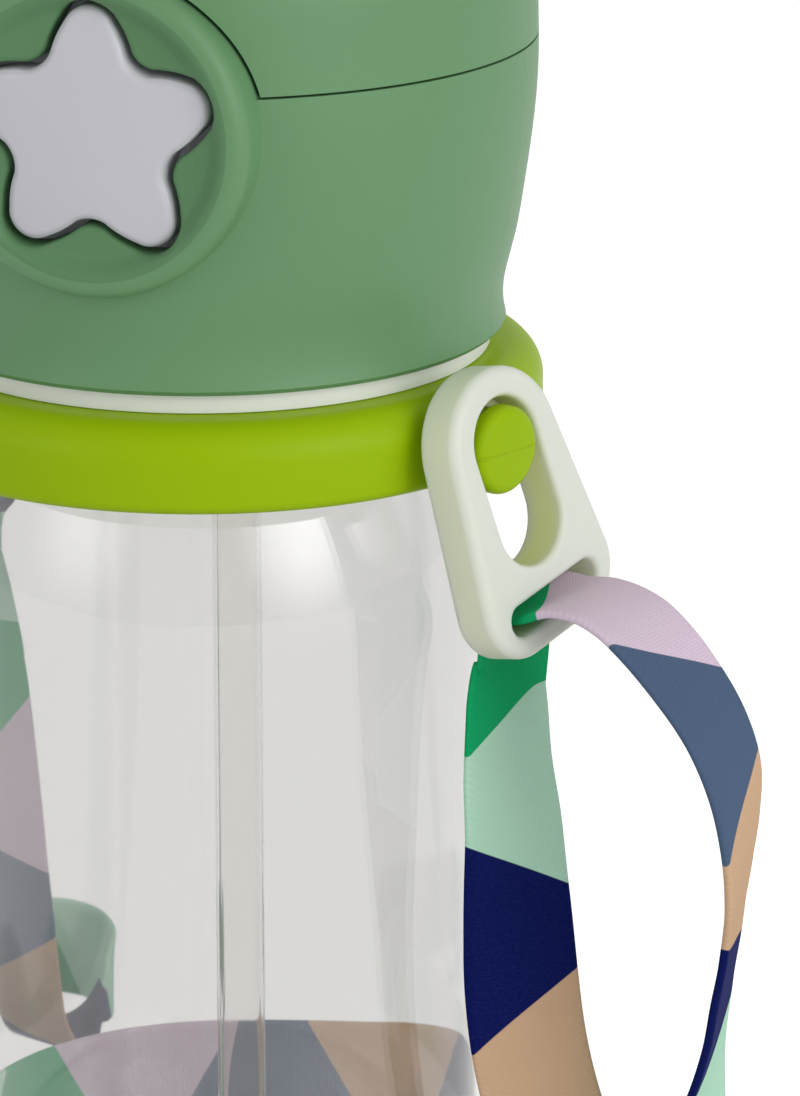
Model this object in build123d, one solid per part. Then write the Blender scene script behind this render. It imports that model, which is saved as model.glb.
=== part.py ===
"""Kids water bottle with a screw lid, a push button flip cover, a pop-up spout and a shoulder strap.

The bottle stands on z = 0 with its axis on Z. The lid's round button faces -Y, and the cover's
hinge is at +Y. The two strap tabs hang on studs of the soft ring around the neck, left and right.
Lengths are millimetres, angles are degrees.
"""

import os
from math import asin, cos, radians, sin, sqrt

from build123d import *

# ---------------------------------------------------------------- driving dimensions
RUN = 0.3  # air between pieces that move past each other
SEAT = 0.1  # air between pieces that are seated in each other
PIN_FIT = 0.06  # radial play of a pin in its bearing

# bottle
BODY_R = 36.4
BODY_WALL = 1.9
BASE_WALL = 3.0
BASE_FILLET = 5.0
SHOULDER_Z = 96.0  # where the straight wall ends
SHOULDER_ARC = 47.0
FLANGE_R = 35.8  # bead above the strap ring
FLANGE_H = 2.0
NECK_ABOVE_FLANGE = 10.6

# thread between neck and lid
LEAD = 9.0
STARTS = 2
THREAD_SPAN = 150.0  # degrees that one ridge covers
RIDGE_H = 1.5
RIDGE_ROOT = 2.0
RIDGE_TIP = 1.0
RIDGE_RISE = 2.2  # first ridge above the flange

# strap ring and its studs
RING_Z = 118.0
RING_H = 10.8
RING_R = 42.5
RING_TOP_FILLET = 4.6
RING_FOOT_FILLET = 1.4
STUD_AZIMUTH = 65.5  # from the front towards +X
STUD_NECK_R = 4.2
STUD_HEAD_R = 5.45
STUD_HEAD_H = 2.8
STUD_HEAD_SET = 0.4  # head's back in front of the tab's middle
STUD_PLAY = 0.45  # neck to the tab's lip

# tab between stud and strap
TAB_T = 6.2
TAB_TOP_R = 9.8
TAB_BOTTOM_W = 24.3
TAB_CORNER_R = 6.6
TAB_DROP = 25.1
TAB_EDGE = 1.8
TAB_HOLE_W = 11.5
TAB_HOLE_UP = 6.2
TAB_HOLE_DOWN = 15.3
TAB_HOLE_EDGE = 0.8
TAB_LIP_T = 2.0  # lip behind the stud's head
TAB_AIR = 1.4  # from the ring to the tab's back
SWING_RIGHT = 12.5
SWING_LEFT = 2.0
FLARE_RIGHT = 11.7  # the stiff loop pushes this tab's foot outward
FLARE_LEFT = 8.0
SLOT_H = 3.8
SLOT_DROP = 20.2

# strap and its slider
STRAP_W = 15.0
STRAP_T = 1.3
SLOT_SIDE_AIR = 1.0
GLIDE_L = 19.0
GLIDE_BAR = 2.0
GLIDE_Z = 5.9
COIL_R = 17.0
COIL_X = -60.8
COIL_Y = 8.0
STAND_Z = 7.8  # middle of a strap that stands on its edge

# lid
LID_FOOT = 2.7  # skirt above the ring's top
LID_FOOT_BEVEL = 0.5
LID_WALL = 2.2
LID_RIM_Z = 168.3
DECK_T = 1.8
GASKET_T = 2.1
GASKET_W = 3.2
LINER_WALL = 1.9

# front drum, bezel and button
DRUM_Z = 163.8
DRUM_R = 19.7
DRUM_WALL = 2.3
DRUM_ROUND = 2.2  # rounding of the drum's front rim
DRUM_AIR = 0.5  # round the drum, to the cover
DRUM_FRONT = 42.8
DRUM_BACK = 28.3
BULKHEAD = 1.7
BEZEL_SET = 0.5  # bezel behind the drum's rim
BEZEL_T = 4.8
DISH_DEPTH = 1.8
STAR_TIP = 19.8
STAR_VALLEY = 9.4
STAR_TIP_R = 3.1
STAR_VALLEY_R = 4.0
STAR_AIR = 0.6
BUTTON_TRAVEL = 2.5
BUTTON_FLANGE_T = 1.5
BUTTON_DOME_R = 90.0
FLANGE_AIR = 1.2  # flange to the drum's bore
PLUNGER_R = 3.4
SPRING_WIRE = 0.7
SPRING_R = 5.6
SPRING_TURNS = 3

# flip cover and hinge
COVER_WALL = 2.0
COVER_H = 29.4
COVER_PLATE = 1.6
HINGE_Y = 45.2
HINGE_PIN_R = 1.5
KNUCKLE_R = 3.2
KNUCKLE_IN = 4.2
KNUCKLE_OUT = 7.7
EAR_W = 4.0
TORSION_WIRE = 0.7
CATCH_W = 10.0
CATCH_T = 1.4
CATCH_NOSE = 0.8
CATCH_NOSE_H = 2.2
CATCH_GRIP = 9.0  # overlap of the tongue with the cover's plate

# spout, straw and valve
SPOUT_TIP_AIR = 1.4  # folded mouthpiece to the catch
SPOUT_RISE = 8.6  # pivot above the deck
SPOUT_DRUM_R = 5.0
SPOUT_DRUM_W = 15.8
SPOUT_TUBE_R = 3.6
SPOUT_BORE_R = 2.0
SPOUT_REACH = 34.0
SPOUT_LEAN = 12.0  # above level when folded
MOUTH_L = 20.0
MOUTH_R = 5.8
TRUNNION_R = 2.0
CRADLE_T = 1.4
EAR_T = 2.4
SCREW_R = 1.2
SCREW_HEAD_R = 2.2
SCREW_HEAD_H = 1.3
SCREW_L = 5.0
SCREW_X = 7.0
SOCKET_R = 4.2
SOCKET_BORE_R = 2.2
SOCKET_L = 7.0
STRAW_R = 3.2
STRAW_WALL = 0.7
STRAW_FOOT = 6.0
VALVE_X = -16.0
VALVE_Y = 14.0
VALVE_R = 4.6

# ---------------------------------------------------------------- derived places
SHOULDER_X = BODY_R - SHOULDER_ARC
SHOULDER_TURN = asin((RING_Z - SHOULDER_Z) / SHOULDER_ARC)
NECK_R = SHOULDER_X + SHOULDER_ARC * cos(SHOULDER_TURN)
RING_TOP = RING_Z + RING_H
FLANGE_Z = RING_TOP + RUN
FLANGE_TOP = FLANGE_Z + FLANGE_H
NECK_TOP = FLANGE_TOP + NECK_ABOVE_FLANGE
GASKET_Z = NECK_TOP + SEAT
DECK_Z = GASKET_Z + GASKET_T + SEAT
DECK_TOP = DECK_Z + DECK_T
LID_Z = RING_TOP + LID_FOOT
RIDGE_Z = FLANGE_TOP + RIDGE_RISE
LINER_R = NECK_R + RIDGE_H + 0.6
COVER_Z = LID_RIM_Z + RUN
STUD_Z = RING_Z + RING_H / 2
TAB_R = RING_R + TAB_AIR + TAB_T / 2  # middle of the tab at the stud
STUD_HEAD_AT = TAB_R + STUD_HEAD_SET
BORE_R = DRUM_R - DRUM_WALL
BEZEL_R = BORE_R - SEAT
BEZEL_Y = BEZEL_SET - DRUM_FRONT
BEZEL_BACK = BEZEL_Y + BEZEL_T
FLANGE_Y = BEZEL_BACK + RUN
SPRING_SEAT = -DRUM_BACK - BULKHEAD
SPOUT_Z = DECK_TOP + SPOUT_RISE
CATCH_Y = -DRUM_BACK + RUN + COVER_PLATE + SEAT
SPOUT_TIP_Y = CATCH_Y + CATCH_T + SPOUT_TIP_AIR
SPOUT_Y = SPOUT_TIP_Y + SPOUT_REACH * cos(radians(SPOUT_LEAN)) + MOUTH_R * sin(radians(SPOUT_LEAN))
LID_OUTLINE = [  # radius and height above the skirt's foot
    (37.75, 0.6),
    (37.5, 5.4),
    (38.8, 11.0),
    (39.9, 17.2),
    (41.2, 27.0),
    (41.6, LID_RIM_Z - LID_Z),
]


# ---------------------------------------------------------------- helpers
def turned(points):
    """Turn a closed outline of (radius, z) points about Z."""
    return revolve(Plane.XZ * make_face(Polyline(*points, close=True)), axis=Axis.Z)


def tube(outer, inner, low, high):
    """Ring about Z between two heights."""
    return turned([(inner, low), (outer, low), (outer, high), (inner, high)])


def rod_z(radius, low, high, x=0, y=0):
    """Cylinder along Z between two heights."""
    rod = Cylinder(radius, high - low, align=(Align.CENTER, Align.CENTER, Align.MIN))
    return Pos(x, y, low) * rod


def rod_x(radius, low, high, y, z):
    """Cylinder along X between two places."""
    rod = Cylinder(radius, high - low, align=(Align.CENTER, Align.CENTER, Align.MIN))
    return Pos(low, y, z) * Rot(0, 90, 0) * rod


def rod_y(radius, low, high, x=0, z=DRUM_Z):
    """Cylinder along Y between two places."""
    rod = Cylinder(radius, high - low, align=(Align.CENTER, Align.CENTER, Align.MIN))
    return Pos(x, low, z) * Rot(-90, 0, 0) * rod


def block(x0, x1, y0, y1, z0, z1):
    """Box between six places."""
    middle = Pos((x0 + x1) / 2, (y0 + y1) / 2, (z0 + z1) / 2)
    return middle * Box(x1 - x0, y1 - y0, z1 - z0)


def unit(v):
    """Vector of length one."""
    size = sqrt(sum(c * c for c in v))
    return tuple(c / size for c in v)


def ribbon(stations):
    """Strap solid through hand-placed (point, width direction) stations, flat between them."""
    faces = []
    last = len(stations) - 1
    for i, (point, width) in enumerate(stations):
        before = stations[max(i - 1, 0)][0]
        after = stations[min(i + 1, last)][0]
        along = unit(tuple(b - a for a, b in zip(before, after)))
        slip = sum(w * t for w, t in zip(width, along))
        side = unit(tuple(w - slip * t for w, t in zip(width, along)))
        section = Plane(origin=point, x_dir=side, z_dir=along)
        faces.append(section * Rectangle(STRAP_W, STRAP_T))
    half = last // 2  # one long loft can turn inside out where the strap twists
    return loft(faces[: half + 1], ruled=True) + loft(faces[half:], ruled=True)


def level(angle):
    """Level direction at an angle from +X."""
    return (cos(radians(angle)), sin(radians(angle)), 0.0)


# ---------------------------------------------------------------- bottle
def bottle_body():
    """Clear bottle: base, straight wall, round shoulder, bead and threaded neck."""

    def inside_arc(offset):
        arc = SHOULDER_ARC - offset
        points = []
        for turn in (0, SHOULDER_TURN / 2, SHOULDER_TURN):
            points.append((SHOULDER_X + arc * cos(turn), SHOULDER_Z + arc * sin(turn)))
        return points

    def shape(offset, floor, fillet_r, top):
        low, middle, high = inside_arc(offset)
        corner = fillet_r * (1 - cos(radians(45)))
        wall = [
            Line((0, floor), (low[0] - fillet_r, floor)),
            ThreePointArc(
                (low[0] - fillet_r, floor),
                (low[0] - corner, floor + corner),
                (low[0], floor + fillet_r),
            ),
            Line((low[0], floor + fillet_r), low),
            ThreePointArc(low, middle, high),
            Line(high, (NECK_R - offset, high[1] + 0.01)),
            Line((NECK_R - offset, high[1] + 0.01), (NECK_R - offset, top)),
            Line((NECK_R - offset, top), (0, top)),
            Line((0, top), (0, floor)),
        ]
        return revolve(Plane.XZ * make_face(Wire(wall)), axis=Axis.Z)

    outer = shape(0, 0, BASE_FILLET, NECK_TOP)
    inner = shape(BODY_WALL, BASE_WALL, BASE_FILLET - BODY_WALL, NECK_TOP)
    mouth = rod_z(NECK_R - BODY_WALL, SHOULDER_Z, NECK_TOP + 1)
    solid = outer + tube(FLANGE_R, NECK_R - SEAT, FLANGE_Z, FLANGE_TOP) - inner
    for start in range(STARTS):
        solid += thread_ridge(NECK_R - SEAT, RIDGE_H + SEAT, RIDGE_Z, 360 / STARTS * start)
    return solid - (mouth & rod_z(NECK_R, RING_Z + SEAT, NECK_TOP + 1))


def thread_ridge(root, height, z, start, step=10.0):
    """One helical ridge. It grows outward from its root, or inward if height is negative."""
    faces = []
    count = int(THREAD_SPAN / step)
    for i in range(count + 1):
        angle = start + THREAD_SPAN * i / count
        rise = z + LEAD * (angle - start) / 360
        frame = Plane(origin=(0, 0, rise), x_dir=level(angle), z_dir=level(angle - 90))
        ends = [
            (root, -RIDGE_ROOT / 2),
            (root + height, -RIDGE_TIP / 2),
            (root + height, RIDGE_TIP / 2),
            (root, RIDGE_ROOT / 2),
        ]
        faces.append(frame * make_face(Polyline(*ends, close=True)))
    return loft(faces, ruled=True)


# ---------------------------------------------------------------- ring and tabs
RIGHT = (STUD_AZIMUTH, SWING_RIGHT, FLARE_RIGHT)
LEFT = (STUD_AZIMUTH - 180, -SWING_LEFT, FLARE_LEFT)


def radial(azimuth):
    """Outward direction at an azimuth from the front, towards +X."""
    return (sin(radians(azimuth)), -cos(radians(azimuth)), 0.0)


def stud(azimuth):
    """Mushroom stud on the ring's outside."""
    base = Plane(origin=(0, 0, STUD_Z), x_dir=(0, 0, 1), z_dir=radial(azimuth))
    neck_from = RING_R - 2.0
    neck = Pos(0, 0, neck_from) * Cylinder(
        STUD_NECK_R, STUD_HEAD_AT - neck_from, align=(Align.CENTER, Align.CENTER, Align.MIN)
    )
    head = Pos(0, 0, STUD_HEAD_AT) * Cylinder(
        STUD_HEAD_R, STUD_HEAD_H, align=(Align.CENTER, Align.CENTER, Align.MIN)
    )
    head = fillet(head.edges().sort_by(Axis.Z)[-1:], STUD_HEAD_H * 0.6)
    return base * (neck + head)


def neck_ring():
    """Soft ring around the neck with its two studs."""
    inner = NECK_R + RUN
    profile = make_face(
        Polyline(
            (inner, RING_Z + 0.2), (RING_R, RING_Z), (RING_R, RING_TOP), (inner, RING_TOP), close=True
        )
    )
    corners = profile.vertices().sort_by(Axis.X)[-2:]
    foot, top = corners.sort_by(Axis.Y)
    profile = fillet([top], RING_TOP_FILLET)
    foot = profile.vertices().sort_by(Axis.X)[-2:].sort_by(Axis.Y)[0]
    profile = fillet([foot], RING_FOOT_FILLET)
    ring = revolve(Plane.XZ * profile, axis=Axis.Z)
    return ring + stud(STUD_AZIMUTH) + stud(STUD_AZIMUTH - 180)


def tab_plane(azimuth, swing, flare):
    """Middle plane of a tab: origin on the stud's axis, local Y up along the tab."""
    out = radial(azimuth)
    around = level(azimuth)
    flare = radians(flare)
    up = tuple(-sin(flare) * o + cos(flare) * z for o, z in zip(out, (0, 0, 1)))
    normal = tuple(cos(flare) * o + sin(flare) * z for o, z in zip(out, (0, 0, 1)))
    turn = radians(swing)
    x_dir = tuple(cos(turn) * a + sin(turn) * u for a, u in zip(around, up))
    origin = (TAB_R * out[0], TAB_R * out[1], STUD_Z)
    return Plane(origin=origin, x_dir=x_dir, z_dir=normal)


def tab(place):
    """Soft tab with a slot for the strap and a button hole that narrows to a lip behind the stud's head."""
    foot_x = TAB_BOTTOM_W / 2 - TAB_CORNER_R
    foot_y = TAB_CORNER_R - TAB_DROP
    rounds = Circle(TAB_TOP_R)
    for side in (-1, 1):
        rounds += Pos(side * foot_x, foot_y) * Circle(TAB_CORNER_R)
    outline = make_hull(rounds.edges())
    plate = Pos(0, 0, -TAB_T / 2) * extrude(outline, TAB_T)
    plate = fillet(plate.edges().filter_by(Plane.XY), TAB_EDGE)
    hole_l = TAB_HOLE_UP + TAB_HOLE_DOWN
    hole_y = (TAB_HOLE_UP - TAB_HOLE_DOWN) / 2
    hole = Pos(0, hole_y) * Rot(0, 0, 90) * SlotOverall(hole_l, TAB_HOLE_W)
    slot = Pos(0, -SLOT_DROP) * SlotOverall(STRAP_W + 2 * SLOT_SIDE_AIR, SLOT_H)
    plate -= extrude(hole + slot, TAB_T, both=True)
    rims = plate.edges().filter_by(Plane.XY).group_by(Axis.Z)
    inner = [e for e in rims[0] + rims[-1] if inside_rim(e)]
    plate = fillet(inner, TAB_HOLE_EDGE)
    # the neck leans in the tab, so the lip's notch is centred on it at the lip's middle
    lip_y = sin(radians(place[2])) * (TAB_T - TAB_LIP_T) / 2
    lip = hole & (Pos(0, lip_y + TAB_HOLE_W / 2) * Rectangle(2 * TAB_HOLE_W, 2 * TAB_HOLE_W - 2 * RUN))
    notch = Pos(0, lip_y) * Circle(STUD_NECK_R + STUD_PLAY)
    notch += Pos(0, lip_y - TAB_HOLE_DOWN / 2) * Rectangle(2 * (STUD_NECK_R + STUD_PLAY), TAB_HOLE_DOWN)
    back = TAB_HOLE_EDGE - TAB_T / 2
    plate += Pos(0, 0, back) * extrude(lip - notch, TAB_LIP_T - TAB_HOLE_EDGE)
    return tab_plane(*place) * plate


def inside_rim(edge):
    """Whether a flat edge of a tab belongs to its hole or its slot."""
    middle = edge @ 0.5
    in_hole = abs(middle.X) < TAB_HOLE_W / 2 + SEAT and -TAB_HOLE_DOWN - SEAT < middle.Y < TAB_HOLE_UP + SEAT
    in_slot = abs(middle.X) < STRAP_W / 2 + SLOT_SIDE_AIR + SEAT and abs(middle.Y + SLOT_DROP) < SLOT_H / 2 + SEAT
    return in_hole or in_slot


def strap_through_slot(place, path):
    """Piece of strap through a tab's slot, from (up, out) points in the tab's middle plane."""
    line = Polyline(*[(out, up) for up, out in path])
    band = offset(line, STRAP_T / 2, side=Side.BOTH, kind=Kind.INTERSECTION, closed=True)
    frame = tab_plane(*place)
    sheet = Plane(origin=frame.origin, x_dir=frame.z_dir, z_dir=-frame.x_dir)
    return sheet * extrude(make_face(band), STRAP_W / 2, both=True)


SLOT_LOW = -SLOT_DROP - SLOT_H / 2  # lower edge of the slot, on the tab's bar
BAR_OUT = TAB_T / 2 + RUN + STRAP_T / 2  # strap beside the bar, from the tab's middle
BAR_TOP = SLOT_LOW + RUN + STRAP_T / 2  # strap on top of the bar


def strap_right_top():
    """Strap through the right tab's slot: up behind the bar, over it and outward."""
    path = [
        (SLOT_LOW - 5.9, -BAR_OUT - 2.9),
        (SLOT_LOW - 2.2, -BAR_OUT - 1.0),
        (SLOT_LOW + 0.2, -BAR_OUT - 0.1),
        (BAR_TOP, -TAB_T / 2 - 0.3),
        (BAR_TOP + 0.1, TAB_T / 2 + 0.4),
        (BAR_TOP + 0.3, BAR_OUT + 2.8),
        (BAR_TOP - 0.2, BAR_OUT + 6.3),
        (BAR_TOP - 1.4, BAR_OUT + 9.6),
        (BAR_TOP - 3.1, BAR_OUT + 12.0),
    ]
    return strap_through_slot(RIGHT, path)


def strap_left_top():
    """Strap folded over the left tab's bar, with its two layers sewn together below."""
    low = -TAB_DROP - 10.0
    layer = STRAP_T / 2 + 0.1
    path = [
        (low, -layer),
        (-TAB_DROP - 5.0, -layer),
        (-TAB_DROP - 0.4, -BAR_OUT),
        (SLOT_LOW + 0.3, -BAR_OUT),
        (BAR_TOP, -TAB_T / 2 - 0.25),
        (BAR_TOP, TAB_T / 2 + 0.25),
        (SLOT_LOW + 0.3, BAR_OUT),
        (-TAB_DROP - 0.4, BAR_OUT),
        (-TAB_DROP - 5.0, layer),
        (low + 2.0, layer),
    ]
    return strap_through_slot(LEFT, path)


# ---------------------------------------------------------------- strap on the table
def along_glide(s, z):
    """Point on the strap's straight stretch through the slider."""
    heading = level(GLIDE_HEADING)
    return (GLIDE_X + s * heading[0], GLIDE_Y + s * heading[1], z)


GLIDE_X = 47.3
GLIDE_Y = 22.4
GLIDE_HEADING = 122.0
GLIDE_WIDTH = level(GLIDE_HEADING - 90)

OUTER_LEG = [
    ((64.5, -24.5, 102.1), (0.37, 0.92, 0.15)),
    ((68.5, -25.2, 98.3), (0.35, 0.93, 0.10)),
    ((72.5, -25.8, 92.5), level(71)),
    ((74.8, -25.8, 86.0), level(75)),
    ((75.5, -25.2, 79.1), level(83)),
    ((75.2, -23.8, 72.2), level(90)),
    ((74.3, -21.9, 65.5), level(94)),
    ((73.2, -19.6, 59.0), level(95)),
    ((71.7, -16.9, 52.0), level(95)),
    ((69.9, -14.0, 44.6), level(91)),
    ((68.2, -12.2, 36.6), level(80)),
    ((66.4, -10.0, 28.6), level(66)),
    ((64.4, -7.0, 20.8), level(52)),
    ((62.2, -3.2, 13.6), level(42)),
    ((59.8, 1.4, 7.6), level(35)),
    ((57.0, 6.4, 3.8), GLIDE_WIDTH),
    (along_glide(-12.0, 2.4), GLIDE_WIDTH),
    (along_glide(-6.6, 3.1), GLIDE_WIDTH),
    (along_glide(-4.1, 4.9), GLIDE_WIDTH),
    (along_glide(-3.2, 7.4), GLIDE_WIDTH),
    (along_glide(-1.6, 9.1), GLIDE_WIDTH),
    (along_glide(0.5, 9.3), GLIDE_WIDTH),
    (along_glide(2.5, 8.3), GLIDE_WIDTH),
    (along_glide(3.2, 6.2), GLIDE_WIDTH),
    (along_glide(2.8, 3.7), GLIDE_WIDTH),
    (along_glide(1.0, 1.7), GLIDE_WIDTH),
    (along_glide(-2.2, 0.95), GLIDE_WIDTH),
    (along_glide(-12.0, 0.85), GLIDE_WIDTH),
]
INNER_LEG = [
    ((44.2, -14.1, 91.9), (0.37, 0.91, 0.10)),
    ((44.4, -14.5, 88.2), level(65)),
    ((44.7, -15.8, 81.4), level(60)),
    ((44.9, -15.6, 73.2), level(54)),
    ((45.1, -15.2, 66.7), level(48)),
    ((45.4, -14.9, 60.1), level(41)),
    ((45.8, -14.4, 52.0), level(33)),
    ((46.6, -13.6, 43.6), level(30)),
    ((48.0, -12.1, 35.2), level(30)),
    ((49.9, -9.7, 27.0), level(31)),
    ((52.0, -6.0, 19.4), GLIDE_WIDTH),
    ((54.0, -0.4, 12.6), GLIDE_WIDTH),
    ((54.6, 6.0, 7.4), GLIDE_WIDTH),
    (along_glide(-12.5, 4.5), GLIDE_WIDTH),
    (along_glide(-9.0, 4.4), GLIDE_WIDTH),
    (along_glide(-7.2, 4.9), GLIDE_WIDTH),
    (along_glide(-6.0, 6.6), GLIDE_WIDTH),
    (along_glide(-5.2, 8.9), GLIDE_WIDTH),
    (along_glide(-3.2, 10.9), GLIDE_WIDTH),
    (along_glide(0.2, 11.5), GLIDE_WIDTH),
    (along_glide(3.5, 10.7), GLIDE_WIDTH),
    (along_glide(5.4, 8.6), GLIDE_WIDTH),
    (along_glide(6.0, 6.3), GLIDE_WIDTH),
    (along_glide(7.4, 4.3), GLIDE_WIDTH),
    (along_glide(10.0, 2.3), GLIDE_WIDTH),
]
UPRIGHT = (0.0, 0.0, 1.0)  # width of a strap that stands on its edge
BACK_RUN = [
    (along_glide(10.6, 2.0), GLIDE_WIDTH),
    (along_glide(14.0, 1.0), GLIDE_WIDTH),
    (along_glide(20.0, 1.2), (0.85, 0.53, 0.10)),
    ((34.0, 43.8, 4.2), (0.76, 0.47, 0.44)),
    ((30.6, 48.6, 6.4), (0.53, 0.33, 0.78)),
    ((26.6, 52.6, 7.7), (0.20, 0.12, 0.97)),
    ((21.2, 54.9, STAND_Z), UPRIGHT),
    ((13.8, 54.9, STAND_Z), UPRIGHT),
    ((5.0, 52.9, STAND_Z), UPRIGHT),
    ((-6.0, 50.2, STAND_Z), UPRIGHT),
    ((-17.0, 46.6, STAND_Z), UPRIGHT),
    ((-27.0, 41.0, STAND_Z), UPRIGHT),
    ((-35.2, 32.8, STAND_Z), UPRIGHT),
    ((-40.6, 22.4, STAND_Z), UPRIGHT),
    ((-42.7, 12.0, STAND_Z), UPRIGHT),
]
LEFT_LEG = [
    ((-45.7, 22.8, 85.2), (0.42, 0.91, 0.03)),
    ((-45.4, 24.2, 80.4), level(62)),
    ((-45.3, 26.5, 72.4), level(56)),
    ((-45.7, 29.1, 63.8), level(48)),
    ((-46.3, 31.8, 55.2), level(39)),
    ((-46.9, 34.6, 46.4), level(30)),
    ((-47.4, 37.5, 37.6), level(21)),
    ((-47.8, 40.8, 28.8), level(13)),
    ((-48.4, 44.6, 20.2), level(5)),
    ((-49.2, 49.2, 12.4), level(-2)),
    ((-49.0, 54.4, 6.2), level(-6)),
    ((-48.0, 59.8, 3.2), level(-9)),
    ((-46.6, 64.8, 4.4), (0.88, -0.16, 0.42)),
    ((-45.0, 69.4, 6.6), (0.58, -0.14, 0.80)),
    ((-44.0, 73.8, 7.7), (0.20, -0.04, 0.98)),
    ((-45.2, 78.4, STAND_Z), UPRIGHT),
    ((-49.2, 82.2, STAND_Z), UPRIGHT),
    ((-55.0, 83.8, STAND_Z), UPRIGHT),
    ((-61.2, 82.4, STAND_Z), UPRIGHT),
    ((-67.0, 78.2, STAND_Z), UPRIGHT),
    ((-71.8, 70.6, STAND_Z), UPRIGHT),
    ((-75.2, 59.6, STAND_Z), UPRIGHT),
    ((-77.4, 46.0, STAND_Z), UPRIGHT),
    ((-78.6, 30.0, STAND_Z), UPRIGHT),
    ((-78.9, 18.0, STAND_Z), UPRIGHT),
    ((-78.9, 10.0, STAND_Z), UPRIGHT),
]


def strap_slider():
    """Three-bar slider that sets the right loop's length."""
    across_l = STRAP_W + 2 * SLOT_SIDE_AIR + 2 * GLIDE_BAR
    frame = Box(GLIDE_L, across_l, GLIDE_BAR)
    frame = fillet(frame.edges().filter_by(Axis.Z), GLIDE_BAR * 0.9)
    window = GLIDE_L / 2 - 1.5 * GLIDE_BAR
    for side in (-1, 1):
        centre = side * (GLIDE_BAR + window) / 2
        frame -= Pos(centre, 0, 0) * Box(window, STRAP_W + 2 * SLOT_SIDE_AIR, 2 * GLIDE_BAR)
    seat = Plane(
        origin=along_glide(0, GLIDE_Z + GLIDE_BAR / 2), x_dir=level(GLIDE_HEADING), z_dir=(0, 0, 1)
    )
    return seat * frame


def strap_coil():
    """Spare strap, wound up and standing on its edge beside the bottle."""
    low = STAND_Z - STRAP_W / 2
    return rod_z(COIL_R, low, low + STRAP_W, COIL_X, COIL_Y)


# ---------------------------------------------------------------- lid
def lid_form(wall):
    """Solid of the lid's outline, drawn in by a wall."""
    foot = LID_FOOT_BEVEL if wall == 0 else 0
    points = [(r - wall, LID_Z + h) for r, h in LID_OUTLINE]
    if wall > 0:
        points = [(points[0][0], LID_Z - 1)] + points
    curve = Spline(*points)
    start = (points[0][0] - foot, LID_Z if wall == 0 else points[0][1])
    edges = [curve, Line(points[-1], (0, points[-1][1])), Line((0, points[-1][1]), (0, start[1]))]
    edges.append(Line((0, start[1]), start))
    if wall == 0:
        edges.append(Line(start, points[0]))
    return revolve(Plane.XZ * make_face(Wire(edges)), axis=Axis.Z)


def lid_shell():
    """Outer lid: skirt, deck over the neck, front drum and hinge ears."""
    outer = lid_form(0)
    inner = lid_form(LID_WALL)
    deck = inner & rod_z(2 * DRUM_FRONT, DECK_Z, DECK_TOP)
    drum = rod_y(DRUM_R, -DRUM_FRONT, -DRUM_BACK)
    drum = fillet(drum.edges().sort_by(Axis.Y)[:1], DRUM_ROUND)
    above = rod_z(2 * DRUM_FRONT, DECK_Z, LID_RIM_Z + 2 * DRUM_R)
    shell = (outer - inner) + deck + (drum & above)
    shell -= rod_y(BORE_R, -DRUM_FRONT - 1, SPRING_SEAT)
    shell -= rod_y(PLUNGER_R + RUN, SPRING_SEAT - 1, -DRUM_BACK + 1)
    shell -= rod_z(SOCKET_R + SEAT, DECK_Z - 1, DECK_TOP + 1, 0, SPOUT_Y)
    shell -= rod_z(VALVE_R / 2 + SEAT, DECK_Z - 1, DECK_TOP + 1, VALVE_X, VALVE_Y)
    for side in (-1, 1):
        shell += hinge_ear(side)
        boss = (side * SCREW_X, SPOUT_Y + cradle_screw_y())
        shell += rod_z(2 * SCREW_R + 0.4, DECK_Z - SCREW_L + DECK_T, DECK_TOP, *boss)
        shell -= rod_z(SCREW_R + SEAT / 2, DECK_Z - SCREW_L, DECK_TOP + 1, *boss)
    return shell


def cradle_screw_y():
    """Screws behind the spout's pivot."""
    return SPOUT_DRUM_R + RUN + SCREW_HEAD_R + 2.0


def hinge_ear(side):
    """One of the two lid ears that carry the hinge pin."""
    low = KNUCKLE_OUT + RUN
    ends = sorted((side * low, side * (low + EAR_W)))
    ear = rod_x(KNUCKLE_R, ends[0], ends[1], HINGE_Y, LID_RIM_Z)
    wall = LID_OUTLINE[-1][0]
    web = block(*ends, wall - 1.8, HINGE_Y, LID_RIM_Z - 2.4 * KNUCKLE_R, LID_RIM_Z)
    web -= rod_x(1.4 * KNUCKLE_R, ends[0] - 1, ends[1] + 1, HINGE_Y + 1.9, LID_RIM_Z - 2.4 * KNUCKLE_R)
    ear = ear + web
    ear -= block(ends[0] - 1, ends[1] + 1, 0, wall + 0.2, LID_RIM_Z, LID_RIM_Z + 2 * KNUCKLE_R)
    return ear - rod_x(HINGE_PIN_R + 0.02, ends[0] - 1, ends[1] + 1, HINGE_Y, LID_RIM_Z)


def lid_liner():
    """Threaded sleeve inside the lid."""
    top = DECK_Z - SEAT
    low = FLANGE_TOP + RUN
    solid = tube(LINER_R + LINER_WALL, LINER_R, low, top)
    for start in range(STARTS):
        below = RIDGE_Z - LEAD / STARTS / 2
        angle = 360 / STARTS * start + 60
        z = below + LEAD * 60 / 360
        solid += thread_ridge(LINER_R + SEAT, -RIDGE_H - SEAT, z, angle)
    return solid


def gasket():
    """Soft seal between the neck's rim and the lid's deck."""
    return tube(NECK_R + RUN, NECK_R + RUN - GASKET_W, GASKET_Z, GASKET_Z + GASKET_T)


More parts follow.
